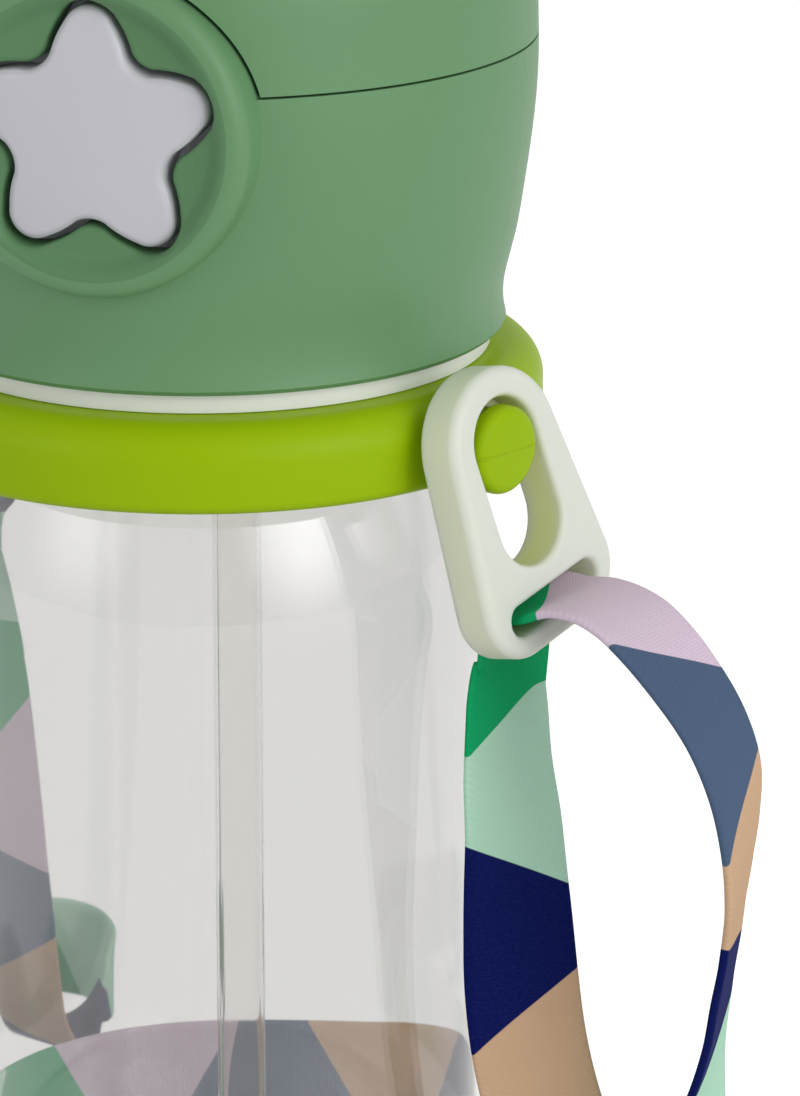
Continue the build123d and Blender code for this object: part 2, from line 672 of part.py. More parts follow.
# ---------------------------------------------------------------- bezel and button
def star_sketch(grow=0.0):
    """Rounded five-pointed star, one point up, grown outward by a clearance."""
    points = []
    for i in range(10):
        reach = STAR_TIP if i % 2 == 0 else STAR_VALLEY
        angle = radians(90 + 36 * i)
        points.append((reach * cos(angle), reach * sin(angle)))
    star = make_face(Polyline(*points, close=True))
    ranked = star.vertices().sort_by(lambda v: v.X**2 + v.Y**2)
    star = fillet(ranked[5:], STAR_TIP_R)
    valleys = star.vertices().sort_by(lambda v: v.X**2 + v.Y**2)[:5]
    star = fillet(valleys, STAR_VALLEY_R)
    if grow:
        star = offset(star, grow)
    return star


def front_plane(y):
    """Plane facing the front at a depth, on the drum's axis."""
    return Plane(origin=(0, y, DRUM_Z), x_dir=(1, 0, 0), z_dir=(0, -1, 0))


def button_bezel():
    """Dished plate in the drum with a star-shaped hole."""
    plate = rod_y(BEZEL_R, BEZEL_Y, BEZEL_BACK)
    dish_r = BEZEL_R - 0.6
    ball = (dish_r**2 + DISH_DEPTH**2) / (2 * DISH_DEPTH)
    plate -= Pos(0, BEZEL_Y + DISH_DEPTH - ball, DRUM_Z) * Sphere(ball)
    hole = front_plane(BEZEL_BACK + 1) * extrude(star_sketch(STAR_AIR), BEZEL_T + 2)
    return plate - hole


def star_button():
    """Star-shaped push button with its flange and plunger."""
    front = -DRUM_FRONT + 0.2
    cap = front_plane(FLANGE_Y) * extrude(star_sketch(), FLANGE_Y - front)
    cap &= Pos(0, front + BUTTON_DOME_R, DRUM_Z) * Sphere(BUTTON_DOME_R)
    flange = rod_y(BORE_R - FLANGE_AIR, FLANGE_Y, FLANGE_Y + BUTTON_FLANGE_T)
    tip = -DRUM_BACK + COVER_PLATE - BUTTON_TRAVEL - RUN
    plunger = rod_y(PLUNGER_R, FLANGE_Y, tip)
    return cap + flange + plunger


def coil(radius, wire, turns, length):
    """Round-wire coil along Z from z = 0."""
    pitch = (length - wire) / turns
    path = Helix(pitch=pitch, height=length - wire, radius=radius)
    start = Plane(origin=path @ 0, z_dir=path % 0)
    return Pos(0, 0, wire / 2) * sweep(start * Circle(wire / 2), path=path, is_frenet=True)


def button_spring():
    """Return spring between the drum's back and the button's flange."""
    front = FLANGE_Y + BUTTON_FLANGE_T
    length = SPRING_SEAT - front - 2 * SEAT
    spring = coil(SPRING_R, SPRING_WIRE, SPRING_TURNS, length)
    return Pos(0, front + SEAT, DRUM_Z) * Rot(-90, 0, 0) * spring


# ---------------------------------------------------------------- flip cover and hinge
def cover_form(wall):
    """Solid of the cover's dome, drawn in by a wall."""
    r = LID_OUTLINE[-1][0] - wall
    top = COVER_Z + COVER_H - wall
    low = COVER_Z - (1 if wall else 0)
    bend = COVER_Z + 0.28 * COVER_H
    edges = [
        Line((0, low), (r, low)),
        Line((r, low), (r - 0.2, bend)),
        Spline((r - 0.2, bend), (0.86 * r, COVER_Z + 0.74 * COVER_H), (0, top), tangents=[(0, 1), (-1, 0)]),
        Line((0, top), (0, low)),
    ]
    return revolve(Plane.XZ * make_face(Wire(edges)), axis=Axis.Z)


def flip_cover():
    """Domed cover that closes over the spout, arched around the front drum."""
    outer = cover_form(0)
    plate_y = -DRUM_BACK + RUN
    plate = block(-60, 60, plate_y, plate_y + COVER_PLATE, COVER_Z, COVER_Z + COVER_H)
    cover = (outer - cover_form(COVER_WALL)) + (plate & outer)
    cover -= rod_y(DRUM_R + DRUM_AIR, -2 * DRUM_FRONT, -DRUM_BACK)
    web_y = LID_OUTLINE[-1][0] - COVER_WALL
    for side in (-1, 1):
        ends = sorted((side * KNUCKLE_IN, side * KNUCKLE_OUT))
        web = block(*ends, web_y, HINGE_Y, COVER_Z, LID_RIM_Z + KNUCKLE_R)
        cover += web + rod_x(KNUCKLE_R, *ends, HINGE_Y, LID_RIM_Z)
    return cover - rod_x(HINGE_PIN_R + PIN_FIT, -KNUCKLE_OUT - 1, KNUCKLE_OUT + 1, HINGE_Y, LID_RIM_Z)


def cover_catch():
    """Tongue inside the cover that the button's plunger pushes free."""
    under = DRUM_Z - PLUNGER_R - RUN
    low = under - CATCH_NOSE_H
    tongue = block(-CATCH_W / 2, CATCH_W / 2, CATCH_Y, CATCH_Y + CATCH_T, low, COVER_Z + CATCH_GRIP)
    nose = block(-CATCH_W / 2, CATCH_W / 2, CATCH_Y - CATCH_NOSE, CATCH_Y, low, under)
    return tongue + nose


def hinge_pin():
    """Steel pin through the lid's ears and the cover's knuckles."""
    end = KNUCKLE_OUT + RUN + EAR_W
    return rod_x(HINGE_PIN_R, -end, end, HINGE_Y, LID_RIM_Z)


def cover_spring():
    """Torsion spring around the pin, between the cover's knuckles."""
    length = 2 * (KNUCKLE_IN - RUN)
    radius = HINGE_PIN_R + RUN + TORSION_WIRE / 2
    spring = coil(radius, TORSION_WIRE, 6, length)
    return Pos(-length / 2, HINGE_Y, LID_RIM_Z) * Rot(0, 90, 0) * spring


# ---------------------------------------------------------------- spout, straw and valve
def spout_frame():
    """Frame on the spout's pivot with its local Z along the folded spout."""
    lean = radians(SPOUT_LEAN)
    return Plane(origin=(0, SPOUT_Y, SPOUT_Z), x_dir=(1, 0, 0), z_dir=(0, -cos(lean), sin(lean)))


def spout_barrel():
    """Turning drum with its two trunnions and the stem of the spout."""
    half = SPOUT_DRUM_W / 2
    drum = rod_x(SPOUT_DRUM_R, -half, half, SPOUT_Y, SPOUT_Z)
    pins = rod_x(TRUNNION_R, -half - EAR_T, half + EAR_T, SPOUT_Y, SPOUT_Z)
    stem = spout_frame() * rod_z(SPOUT_TUBE_R, 0, SPOUT_REACH - 4.0)
    bore = spout_frame() * rod_z(SPOUT_BORE_R, 0, SPOUT_REACH)
    inlet = rod_z(SPOUT_BORE_R, SPOUT_Z - 2 * SPOUT_DRUM_R, SPOUT_Z, 0, SPOUT_Y)
    return drum + pins + stem - bore - inlet


def mouthpiece():
    """Soft bite tip pushed over the stem."""
    low = SPOUT_REACH - MOUTH_L
    tip = rod_z(MOUTH_R, low, SPOUT_REACH)
    tip = fillet(tip.edges().sort_by(Axis.Z)[-1:], 2.0)
    grip = Pos(0, 0, low + 0.55 * MOUTH_L) * Torus(MOUTH_R + 0.9, 1.5)
    tip = tip - grip
    tip -= rod_z(SPOUT_TUBE_R + SEAT / 2, low - 1, SPOUT_REACH - 4.0 + SEAT)
    tip -= rod_z(SPOUT_BORE_R, low, SPOUT_REACH + 1)
    return spout_frame() * tip


def spout_cradle():
    """Bracket on the deck whose ears hold the spout's trunnions."""
    half = SPOUT_DRUM_W / 2
    ear_in = half + RUN
    ear_out = ear_in + EAR_T
    back = SPOUT_Y + cradle_screw_y() + SCREW_HEAD_R + 1.5
    front = SPOUT_Y - SPOUT_DRUM_R - 2.0
    base = block(-ear_out, ear_out, front, back, DECK_TOP, DECK_TOP + CRADLE_T)
    base = fillet(base.edges().filter_by(Axis.Z), 2.0)
    solid = base
    for side in (-1, 1):
        ends = sorted((side * ear_in, side * ear_out))
        ear = block(*ends, SPOUT_Y - 4.5, SPOUT_Y + 4.5, DECK_TOP, SPOUT_Z)
        solid += ear + rod_x(4.5, *ends, SPOUT_Y, SPOUT_Z)
        solid -= rod_z(SCREW_R + SEAT, DECK_TOP - 1, SPOUT_Z, side * SCREW_X, SPOUT_Y + cradle_screw_y())
    solid -= rod_x(TRUNNION_R + PIN_FIT, -ear_out - 1, ear_out + 1, SPOUT_Y, SPOUT_Z)
    return solid - rod_z(SOCKET_R + 1.6 + SEAT, DECK_TOP - 1, DECK_TOP + CRADLE_T + 1, 0, SPOUT_Y)


def cradle_screws():
    """Two screws that hold the cradle on the deck."""
    screws = []
    seat = DECK_TOP + CRADLE_T
    for side in (-1, 1):
        place = (side * SCREW_X, SPOUT_Y + cradle_screw_y())
        screw = rod_z(SCREW_HEAD_R, seat, seat + SCREW_HEAD_H, *place)
        screw += rod_z(SCREW_R, seat - SCREW_L, seat, *place)
        cross = SCREW_HEAD_R * 1.2
        for turn in (0, 90):
            slot = Box(cross, 0.5, 0.6)
            screw -= Pos(*place, seat + SCREW_HEAD_H) * Rot(0, 0, turn) * slot
        screws.append(screw)
    return Compound(children=screws)


def straw_socket():
    """Nozzle through the deck that joins the straw to the spout."""
    seat = DECK_TOP
    saddle = SPOUT_Z - SPOUT_DRUM_R - RUN
    solid = rod_z(SOCKET_R + 1.6, seat, saddle, 0, SPOUT_Y)
    solid += rod_z(SOCKET_R, DECK_Z - 1.5, seat, 0, SPOUT_Y)
    solid += rod_z(STRAW_R - STRAW_WALL - SEAT / 2, DECK_Z - 1.5 - SOCKET_L, DECK_Z, 0, SPOUT_Y)
    return solid - rod_z(SOCKET_BORE_R - 0.5, DECK_Z - 2 * SOCKET_L, SPOUT_Z, 0, SPOUT_Y)


def straw_tube():
    """Straw from the socket to just above the floor of the bottle."""
    top = DECK_Z - 1.5 - SEAT
    return Pos(0, SPOUT_Y, 0) * tube(STRAW_R, STRAW_R - STRAW_WALL, STRAW_FOOT, top)


def vent_valve():
    """Soft valve in the deck that lets air in while drinking."""
    under = rod_z(VALVE_R, DECK_Z - 1.0 - SEAT, DECK_Z - SEAT, VALVE_X, VALVE_Y)
    stem = rod_z(VALVE_R / 2, DECK_Z - 1.0, DECK_TOP + 1.0, VALVE_X, VALVE_Y)
    cap = rod_z(0.75 * VALVE_R, DECK_TOP + SEAT, DECK_TOP + 1.2, VALVE_X, VALVE_Y)
    return under + stem + cap


# ---------------------------------------------------------------- all pieces
PIECES = {
    "bottle_body": bottle_body,
    "neck_ring": neck_ring,
    "tab_right": lambda: tab(RIGHT),
    "tab_left": lambda: tab(LEFT),
    "strap_right_top": strap_right_top,
    "strap_left_top": strap_left_top,
    "strap_outer_leg": lambda: ribbon(OUTER_LEG),
    "strap_inner_leg": lambda: ribbon(INNER_LEG),
    "strap_back_run": lambda: ribbon(BACK_RUN),
    "strap_left_leg": lambda: ribbon(LEFT_LEG),
    "strap_slider": strap_slider,
    "strap_coil": strap_coil,
    "lid_shell": lid_shell,
    "lid_liner": lid_liner,
    "gasket": gasket,
    "button_bezel": button_bezel,
    "star_button": star_button,
    "button_spring": button_spring,
    "flip_cover": flip_cover,
    "cover_catch": cover_catch,
    "hinge_pin": hinge_pin,
    "cover_spring": cover_spring,
    "spout_cradle": spout_cradle,
    "cradle_screws": cradle_screws,
    "spout_barrel": spout_barrel,
    "mouthpiece": mouthpiece,
    "straw_socket": straw_socket,
    "straw_tube": straw_tube,
    "vent_valve": vent_valve,
}

os.makedirs("parts", exist_ok=True)
for name, make in PIECES.items():
    export_step(make(), f"parts/{name}.step")
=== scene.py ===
# %% [markdown]
# # A kids water bottle, dressed in Blender
# The engineering model is already there: every piece is a solid at its real size, and it moves on
# real joints. This script gives it its looks. The hard plastic pieces keep their solids and get
# new finishes. The clear bottle, the soft ring, the tabs, the button and the woven strap are worked
# out again as fine surfaces, because their softness is what the eye reads first.

from math import asin, atan2, cos, pi, radians, sin, tan

import bmesh
import bpy
import numpy as np
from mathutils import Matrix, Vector


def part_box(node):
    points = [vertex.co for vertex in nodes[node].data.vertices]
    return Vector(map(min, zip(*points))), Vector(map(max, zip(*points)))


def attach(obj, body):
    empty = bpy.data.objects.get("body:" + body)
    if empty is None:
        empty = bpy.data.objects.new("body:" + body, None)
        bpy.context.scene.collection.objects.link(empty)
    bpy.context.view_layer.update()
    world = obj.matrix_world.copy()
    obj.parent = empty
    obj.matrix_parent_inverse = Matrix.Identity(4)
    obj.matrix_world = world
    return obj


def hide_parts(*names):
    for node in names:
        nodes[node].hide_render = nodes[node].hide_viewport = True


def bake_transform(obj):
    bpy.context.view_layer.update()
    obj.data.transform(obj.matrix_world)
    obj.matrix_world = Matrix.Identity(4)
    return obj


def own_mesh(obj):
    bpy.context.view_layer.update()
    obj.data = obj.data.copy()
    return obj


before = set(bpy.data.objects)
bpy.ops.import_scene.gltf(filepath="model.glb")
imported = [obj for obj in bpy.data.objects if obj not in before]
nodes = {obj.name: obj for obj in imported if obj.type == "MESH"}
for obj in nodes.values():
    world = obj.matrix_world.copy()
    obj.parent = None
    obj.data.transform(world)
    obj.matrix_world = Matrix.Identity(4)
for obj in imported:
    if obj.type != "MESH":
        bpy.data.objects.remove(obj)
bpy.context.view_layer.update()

# %% [markdown]
# ## Camera
# A long lens from a little above shows the bottle almost without perspective, as a catalogue does.
# The lens could be moved about by eye, but a camera placed by an azimuth and an elevation round the
# bottle's axis is easier to check: two angles, a distance, a height and a focal length.

# %% Camera
MM = 0.001  # the sums below are in millimetres, the meshes in metres
SENSOR_H = 36.0
AZIMUTH, ELEVATION = radians(16.8), radians(17.56)
SIDEWAYS, DISTANCE, HEIGHT, LENS = 24.4, 622.3, 297.7, 167.68


def new_object(name, data):
    """Object on its data, linked into the scene."""
    made = bpy.data.objects.new(name, data)
    bpy.context.scene.collection.objects.link(made)
    return made


to_right = np.array([cos(AZIMUTH), sin(AZIMUTH), 0.0])
to_camera = np.array([sin(AZIMUTH), -cos(AZIMUTH), 0.0])
up = np.array([0.0, 0.0, 1.0])
camera_data = bpy.data.cameras.new("camera")
camera_data.sensor_fit = "VERTICAL"
camera_data.sensor_height = SENSOR_H
camera_data.lens = LENS
camera_data.clip_start = 0.01
camera = new_object("camera", camera_data)
camera.location = (SIDEWAYS * to_right + DISTANCE * to_camera + HEIGHT * up) * MM
looks = Vector(-to_camera * cos(ELEVATION) - up * sin(ELEVATION))
camera.rotation_euler = looks.to_track_quat("-Z", "Y").to_euler()
bpy.context.scene.camera = camera
print("camera at", [round(c, 3) for c in camera.location])

# %% [markdown]
# ## Making surfaces
# Most pieces here are a grid: one parameter runs along the piece, the other across it. The grid
# could be pushed about by hand, but a formula keeps it exact and smooth. These helpers turn a grid
# of points into a closed mesh whose faces point outwards.

# %% Surface helpers
WELD, SLIVER = 2e-6, 1e-7  # metres: points this near are one, and shorter edges are dissolved


def join_grids(grids):
    """Points and quads of (array, wrap_rows, wrap_columns) grids; a wrap joins its two ends."""
    points, faces, start = [], [], 0
    for grid, wrap_rows, wrap_columns in grids:
        rows, columns = grid.shape[:2]
        index = start + np.arange(rows * columns).reshape(rows, columns)
        if wrap_rows:
            index = np.vstack([index, index[:1]])
        if wrap_columns:
            index = np.hstack([index, index[:, :1]])
        a, b, c, d = index[:-1, :-1], index[1:, :-1], index[1:, 1:], index[:-1, 1:]
        points.append(grid.reshape(-1, 3))
        faces.append(np.stack([a, b, c, d], -1).reshape(-1, 4))
        start += rows * columns
    return np.vstack(points), np.vstack(faces)


def finish_mesh(name, grids, body, material, lengths=None):
    """Piece from grids in millimetres: what coincides is welded, and the faces turn outwards."""
    points, faces = join_grids(grids)
    mesh = bpy.data.meshes.new(name)
    mesh.from_pydata((points * MM).tolist(), [], faces.tolist())
    if lengths is not None:
        stored = mesh.attributes.new("strap_mm", "FLOAT_VECTOR", "POINT").data
        stored.foreach_set("vector", lengths.astype(np.float32).ravel())
    work = bmesh.new()
    work.from_mesh(mesh)
    bmesh.ops.remove_doubles(work, verts=work.verts, dist=WELD)
    if lengths is None:
        bmesh.ops.dissolve_degenerate(work, dist=SLIVER, edges=work.edges)
    bmesh.ops.recalc_face_normals(work, faces=work.faces)
    work.to_mesh(mesh)
    work.free()
    mesh.polygons.foreach_set("use_smooth", np.full(len(mesh.polygons), True))
    mesh.materials.append(material)
    piece = new_object(name, mesh)
    if body:
        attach(piece, body)
    print(name, len(mesh.polygons), "faces")
    return piece


def rounded(corners, radii, steps, closed=True):
    """Outline through corners, each cut by an arc of its radius: the arc touches both sides."""
    corners = np.asarray(corners, float)
    out = []
    count = len(corners)
    for i in range(count):
        here = corners[i]
        radius = radii[i]
        if radius <= 0 or (not closed and i in (0, count - 1)):
            out.append(here[None])
            continue
        before, after = corners[i - 1] - here, corners[(i + 1) % count] - here
        before, after = before / np.hypot(*before), after / np.hypot(*after)
        half = np.arccos(np.clip(before @ after, -1, 1)) / 2
        middle = before + after
        centre = here + middle / np.hypot(*middle) * radius / sin(half)
        first = here + before * radius / tan(half) - centre
        last = here + after * radius / tan(half) - centre
        start, end = atan2(first[1], first[0]), atan2(last[1], last[0])
        sweep = (end - start + pi) % (2 * pi) - pi
        angles = start + sweep * np.linspace(0, 1, steps + 1)
        out.append(centre + polar(radius, angles))
    return np.vstack(out)


def polar(radius, angles):
    """Points of a plane at a radius in each direction."""
    return np.stack([radius * np.cos(angles), radius * np.sin(angles)], -1)


def turned_grid(profile, segments):
    """Grid of a (radius, height) profile turned about the Z axis: angle down, profile across."""
    angles = np.linspace(0, 2 * pi, segments, endpoint=False)[:, None]
    radius, height = profile[:, 0][None], profile[:, 1][None]
    return np.stack([radius * np.cos(angles), radius * np.sin(angles), height + 0 * angles], -1)


def placed(grid, origin, x_dir, y_dir, z_dir):
    """Carry local points into the bottle's frame by three directions and an origin."""
    return np.asarray(origin) + grid @ np.array([x_dir, y_dir, z_dir])


def capped(grid):
    """Close a tube's two ends by running its last sections in to their middles."""
    first, last = grid[:1].mean(1, keepdims=True), grid[-1:].mean(1, keepdims=True)
    return np.concatenate([0 * grid[:1] + first, grid, 0 * grid[-1:] + last])


def nearest(p, line):
    """Distance of each point of a plane to the nearest of a line's points."""
    return np.sqrt(((p.reshape(-1, 1, 2) - line) ** 2).sum(-1).min(1)).reshape(p.shape[:-1])


print("helpers ready")

# %% [markdown]
# ## Shared effects
# A moulded plastic is never quite even: its gloss drifts and its skin has a very fine grain. Many
# finishes need that, so it is one node group with two sizes, built once. The groups put out
# heights, masks and the print's colours, and each material keeps its own shader.

# %% Node helpers
def fill(tree, node, inputs=(), **named):
    """Set or link a node's numbered or named inputs; an underscore stands for a space."""
    for key, value in {**dict(inputs), **named}.items():
        socket = node.inputs[key.replace("_", " ") if isinstance(key, str) else key]
        if isinstance(value, bpy.types.NodeSocket):
            tree.links.new(value, socket)
        else:
            socket.default_value = value
    return node


def add(tree, kind, inputs=(), **settings):
    """New node with its settings, and values or links on its inputs."""
    made = tree.nodes.new(kind)
    for key, value in settings.items():
        setattr(made, key, value)
    return fill(tree, made, inputs)


def math(tree, operation, *values, clamp=False):
    """Output of a Math node on one to three values or sockets."""
    inputs = dict(enumerate(values))
    return add(tree, "ShaderNodeMath", inputs, operation=operation, use_clamp=clamp).outputs[0]


def mixed(tree, share, first, second):
    """Colour that goes from the first to the second as its share goes from nought to one."""
    return add(tree, "ShaderNodeMix", {0: share, 6: first, 7: second}, data_type="RGBA").outputs[2]


def eased(tree, value, low, high, top=1.0):
    """Value that rises smoothly from nought at low to its top at high."""
    inputs = {"Value": value, "From Min": low, "From Max": high, "To Max": top}
    return add(tree, "ShaderNodeMapRange", inputs, interpolation_type="SMOOTHSTEP").outputs[0]


def noise(tree, vector, scale, detail, roughness=0.5):
    """Value of a noise texture."""
    inputs = {"Vector": vector, "Scale": scale, "Detail": detail, "Roughness": roughness}
    return add(tree, "ShaderNodeTexNoise", inputs).outputs[0]


def bumped(tree, strength, distance, height):
    """Normal bent by a height."""
    inputs = {"Strength": strength, "Distance": distance, "Height": height}
    return add(tree, "ShaderNodeBump", inputs).outputs[0]


def new_group(name, inputs, outputs):
    """Node group with named sockets; gives the tree, its input node and its output node."""
    tree = bpy.data.node_groups.new(name, "ShaderNodeTree")
    for label, kind, value in inputs:
        socket = tree.interface.new_socket(label, in_out="INPUT", socket_type=kind)
        socket.default_value = value
    for label, kind in outputs:
        tree.interface.new_socket(label, in_out="OUTPUT", socket_type=kind)
    return tree, tree.nodes.new("NodeGroupInput"), tree.nodes.new("NodeGroupOutput")


def use_group(tree, group, **inputs):
    """The group as a node in a material, with its named inputs set or linked."""
    return fill(tree, add(tree, "ShaderNodeGroup", node_tree=group), **inputs)


def new_material(name):
    """Material with its node tree and its Principled node."""
    material = bpy.data.materials.new(name)
    material.use_nodes = True
    return material, material.node_tree, material.node_tree.nodes["Principled BSDF"]


FLOAT, COLOR = "NodeSocketFloat", "NodeSocketColor"
WHITE = (1.0, 1.0, 1.0, 1.0)

# %% Moulded skin: fine grain, slow drift of gloss, rubbed patches
skin, skin_in, skin_out = new_group(
    "Moulded skin",
    [("Grain size", FLOAT, 0.0004), ("Drift size", FLOAT, 0.03)],
    [("Height", FLOAT), ("Drift", FLOAT), ("Rub", FLOAT)],
)
where = add(skin, "ShaderNodeTexCoord").outputs["Object"]
fine_scale = math(skin, "DIVIDE", 1.0, skin_in.outputs["Grain size"])
slow_scale = math(skin, "DIVIDE", 1.0, skin_in.outputs["Drift size"])
fine = noise(skin, where, fine_scale, 2.0, 0.55)
slow = noise(skin, where, slow_scale, 3.0, 0.6)
rub = noise(skin, where, math(skin, "MULTIPLY", slow_scale, 6.0), 6.0, 0.7)
fill(skin, skin_out, Height=fine, Drift=slow, Rub=eased(skin, rub, 0.56, 0.74))
print("groups:", [g.name for g in bpy.data.node_groups])

# %% [markdown]
# ## Plastics and rubbers
# Each finish is the same few decisions: a colour that drifts a little, a roughness that drifts with
# it, and a grain too fine to see except in how it breaks up a highlight. Soft rubbers also let a
# little light in under their skin, so they get some subsurface scattering.

# %% Moulded materials
def moulded(name, color, roughness, drift=0.06, grain=0.00045, depth=0.00001, **shader):
    """Plastic or rubber: colour and roughness drift together, a fine grain bumps the surface."""
    material, tree, principled = new_material(name)
    surface = use_group(tree, skin, Grain_size=grain, Drift_size=0.03)
    dark = tuple(c * (1 - drift) for c in color) + (1.0,)
    light = tuple(min(1.0, c * (1 + drift)) for c in color) + (1.0,)
    gloss = math(tree, "MULTIPLY_ADD", surface.outputs["Drift"], 0.12, roughness - 0.06)
    gloss = math(tree, "MULTIPLY_ADD", surface.outputs["Rub"], 0.05, gloss)
    tint = mixed(tree, surface.outputs["Drift"], dark, light)
    normal = bumped(tree, 0.6, depth, surface.outputs["Height"])
    fill(tree, principled, Base_Color=tint, Roughness=gloss, Normal=normal, **shader)
    return material


sage = moulded(
    "sage_plastic", (0.133, 0.292, 0.133), 0.46, depth=0.000012, Specular_IOR_Level=0.4
)
# the dish's plastic is the sage made darker: painted shade for the dish's recess
dish_plastic_painted_shade = moulded(
    "dish_plastic_painted_shade", (0.108, 0.243, 0.108), 0.5, depth=0.000012, Specular_IOR_Level=0.3
)
lime = moulded(
    "lime_rubber", (0.335, 0.515, 0.0005), 0.40, drift=0.03, Specular_IOR_Level=0.12,
    Subsurface_Weight=0.1, Subsurface_Radius=(0.3, 0.4, 0.05), Subsurface_Scale=0.003,
)
cream = moulded(
    "cream_rubber", (0.765, 0.80, 0.715), 0.44, drift=0.02, Specular_IOR_Level=0.3,
    Subsurface_Weight=0.5, Subsurface_Radius=(1.0, 0.95, 0.8), Subsurface_Scale=0.003,
)
# painted light: the tabs' walls, most of all in the button hole, turn yellow-green by a share
# stored on their points, as bounce light from the lime stud and ring
LIME_BOUNCE_CREAM = (0.88, 0.90, 0.50, 1.0)
tree, principled = cream.node_tree, cream.node_tree.nodes["Principled BSDF"]
plain_cream = principled.inputs["Base Color"].links[0].from_socket
lime_bounce = add(tree, "ShaderNodeAttribute", attribute_name="lime_bounce").outputs["Fac"]
fill(tree, principled, Base_Color=mixed(tree, lime_bounce, plain_cream, LIME_BOUNCE_CREAM))
pale = moulded("pale_plastic", (0.61, 0.605, 0.655), 0.36, drift=0.03, depth=0.000008)
white = moulded("white_plastic", (0.74, 0.745, 0.72), 0.38, drift=0.03)
milky = moulded(
    "silicone", (0.66, 0.67, 0.66), 0.4, drift=0.03,
    Subsurface_Weight=0.5, Subsurface_Radius=(1.0, 1.0, 1.0), Subsurface_Scale=0.003,
)
print("materials:", [m.name for m in (sage, lime, cream, pale, white, milky)])

# %% [markdown]
# ## Steel wire and pins
# The springs, the hinge pin and the screws are drawn or turned steel: metal with fine lines round
# it and a slight change of gloss. They hide inside the lid, yet show when the cover opens.

# %% Steel
steel, tree, principled = new_material("steel")
place = add(tree, "ShaderNodeTexCoord").outputs["Object"]
stretched = add(tree, "ShaderNodeMapping", {"Vector": place, "Scale": (6.0, 60.0, 60.0)})
lines = noise(tree, stretched.outputs[0], 60.0, 3.0)
shine = mixed(tree, lines, (0.46, 0.46, 0.47, 1), (0.62, 0.62, 0.63, 1))
gloss, normal = math(tree, "MULTIPLY_ADD", lines, 0.2, 0.2), bumped(tree, 0.3, 0.00001, lines)
fill(tree, principled, Base_Color=shine, Metallic=1.0, Roughness=gloss, Normal=normal)

# %% [markdown]
# ## Clear plastic
# The bottle is a clear copolyester. A glass shader on a shell with real walls gives the bright rims
# and the bent view of what is behind. A little roughness softens that view, and a faint grey tint
# stands for the light that such a wall loses. Lamps shine through by a share of the shadow rays,
# which stands in for the light that real walls gather and bend. The neck is much milkier.

# %% Clear body and straw
def clear(name, color, roughness, haze, through=1.0, bend=1.5, lets_by=0.85, **shader):
    """Transmitting plastic: roughness grows in slow patches by a haze, and lamps shine through."""
    material, tree, principled = new_material(name)
    surface = use_group(tree, skin, Grain_size=0.0006, Drift_size=0.04)
    gloss = math(tree, "MULTIPLY_ADD", surface.outputs["Drift"], haze, roughness)
    gloss = math(tree, "MULTIPLY_ADD", surface.outputs["Rub"], haze, gloss)
    blocked = add(tree, "ShaderNodeLightPath").outputs["Is Shadow Ray"]
    solid = math(tree, "MULTIPLY_ADD", blocked, -lets_by, 1.0)
    fill(tree, principled, Base_Color=color, Transmission_Weight=through, IOR=bend, **shader)
    fill(tree, principled, Roughness=gloss, Alpha=solid)
    return material


clear_plastic = clear(
    "clear_plastic", (0.825, 0.82, 0.81, 1.0), 0.02, 0.018,
    through=0.985, lets_by=0.95, Specular_IOR_Level=0.28,
)
straw_plastic = clear("straw_plastic", (0.95, 0.94, 0.93, 1.0), 0.06, 0.02, bend=1.2)
# the neck glows faintly by its emission: painted light that brightens it in the shade under the lid
milky_plastic_painted_glow = clear(
    "neck_plastic_painted_glow", (0.95, 0.95, 0.935, 1.0), 0.40, 0.04,
    through=0.15, lets_by=0.3, Emission_Color=(1.0, 1.0, 0.98, 1.0), Emission_Strength=0.03,
)
print("clear:", clear_plastic.name, straw_plastic.name, milky_plastic_painted_glow.name)

# %% [markdown]
# ## Printed webbing
# The strap is 15 mm polyester webbing with plain bunting printed on it: blocks of one length, whose
# borders lean to and fro, in six colours taken in turn. A drawn texture could be wrapped on it, but
# straight borders are easier and sharper as sums. Each block is painted over all that lies beyond
# its first border, and two numbers stored on the mesh, across and along in millimetres, carry the
# pattern round every bend. Along is nought at the slot of each tab.

# %% Colour blocks
PALETTE = {
    "mint": (0.52, 0.84, 0.64),
    "green": (0.006, 0.42, 0.145),
    "lilac": (0.78, 0.63, 0.76),
    "slate": (0.085, 0.132, 0.225),
    "navy": (0.0015, 0.0065, 0.100),
    "tan": (0.70, 0.46, 0.29),
}
STRAP_W, BLOCK, BORDER_LEAN, FIRST_BORDER = 15.0, 20.0, 0.6, -75.0
COLOR_ORDER = ["tan", "navy", "mint", "green", "lilac", "slate"]
BLOCK_COUNT = 12
REPEAT = BLOCK_COUNT * BLOCK
BORDER_SHARPNESS = 6.0  # a border blends over the inverse of this in millimetres
blocks, blocks_in, blocks_out = new_group(
    "Printed blocks", [("Start", FLOAT, 0.0)],
    [("Color", COLOR), ("Across", FLOAT), ("Along", FLOAT)],
)
lengths = add(blocks, "ShaderNodeAttribute", attribute_name="strap_mm").outputs["Vector"]
split = add(blocks, "ShaderNodeSeparateXYZ", {0: lengths})
across, along = split.outputs[0], split.outputs[1]
turn = math(blocks, "ADD", along, blocks_in.outputs["Start"])
turn = math(blocks, "FLOORED_MODULO", math(blocks, "SUBTRACT", turn, FIRST_BORDER), REPEAT)
turn = math(blocks, "ADD", turn, FIRST_BORDER)
spot = add(blocks, "ShaderNodeCombineXYZ", {0: across, 1: turn, 2: -1.0}).outputs[0]
color = PALETTE[COLOR_ORDER[-1]] + (1.0,)
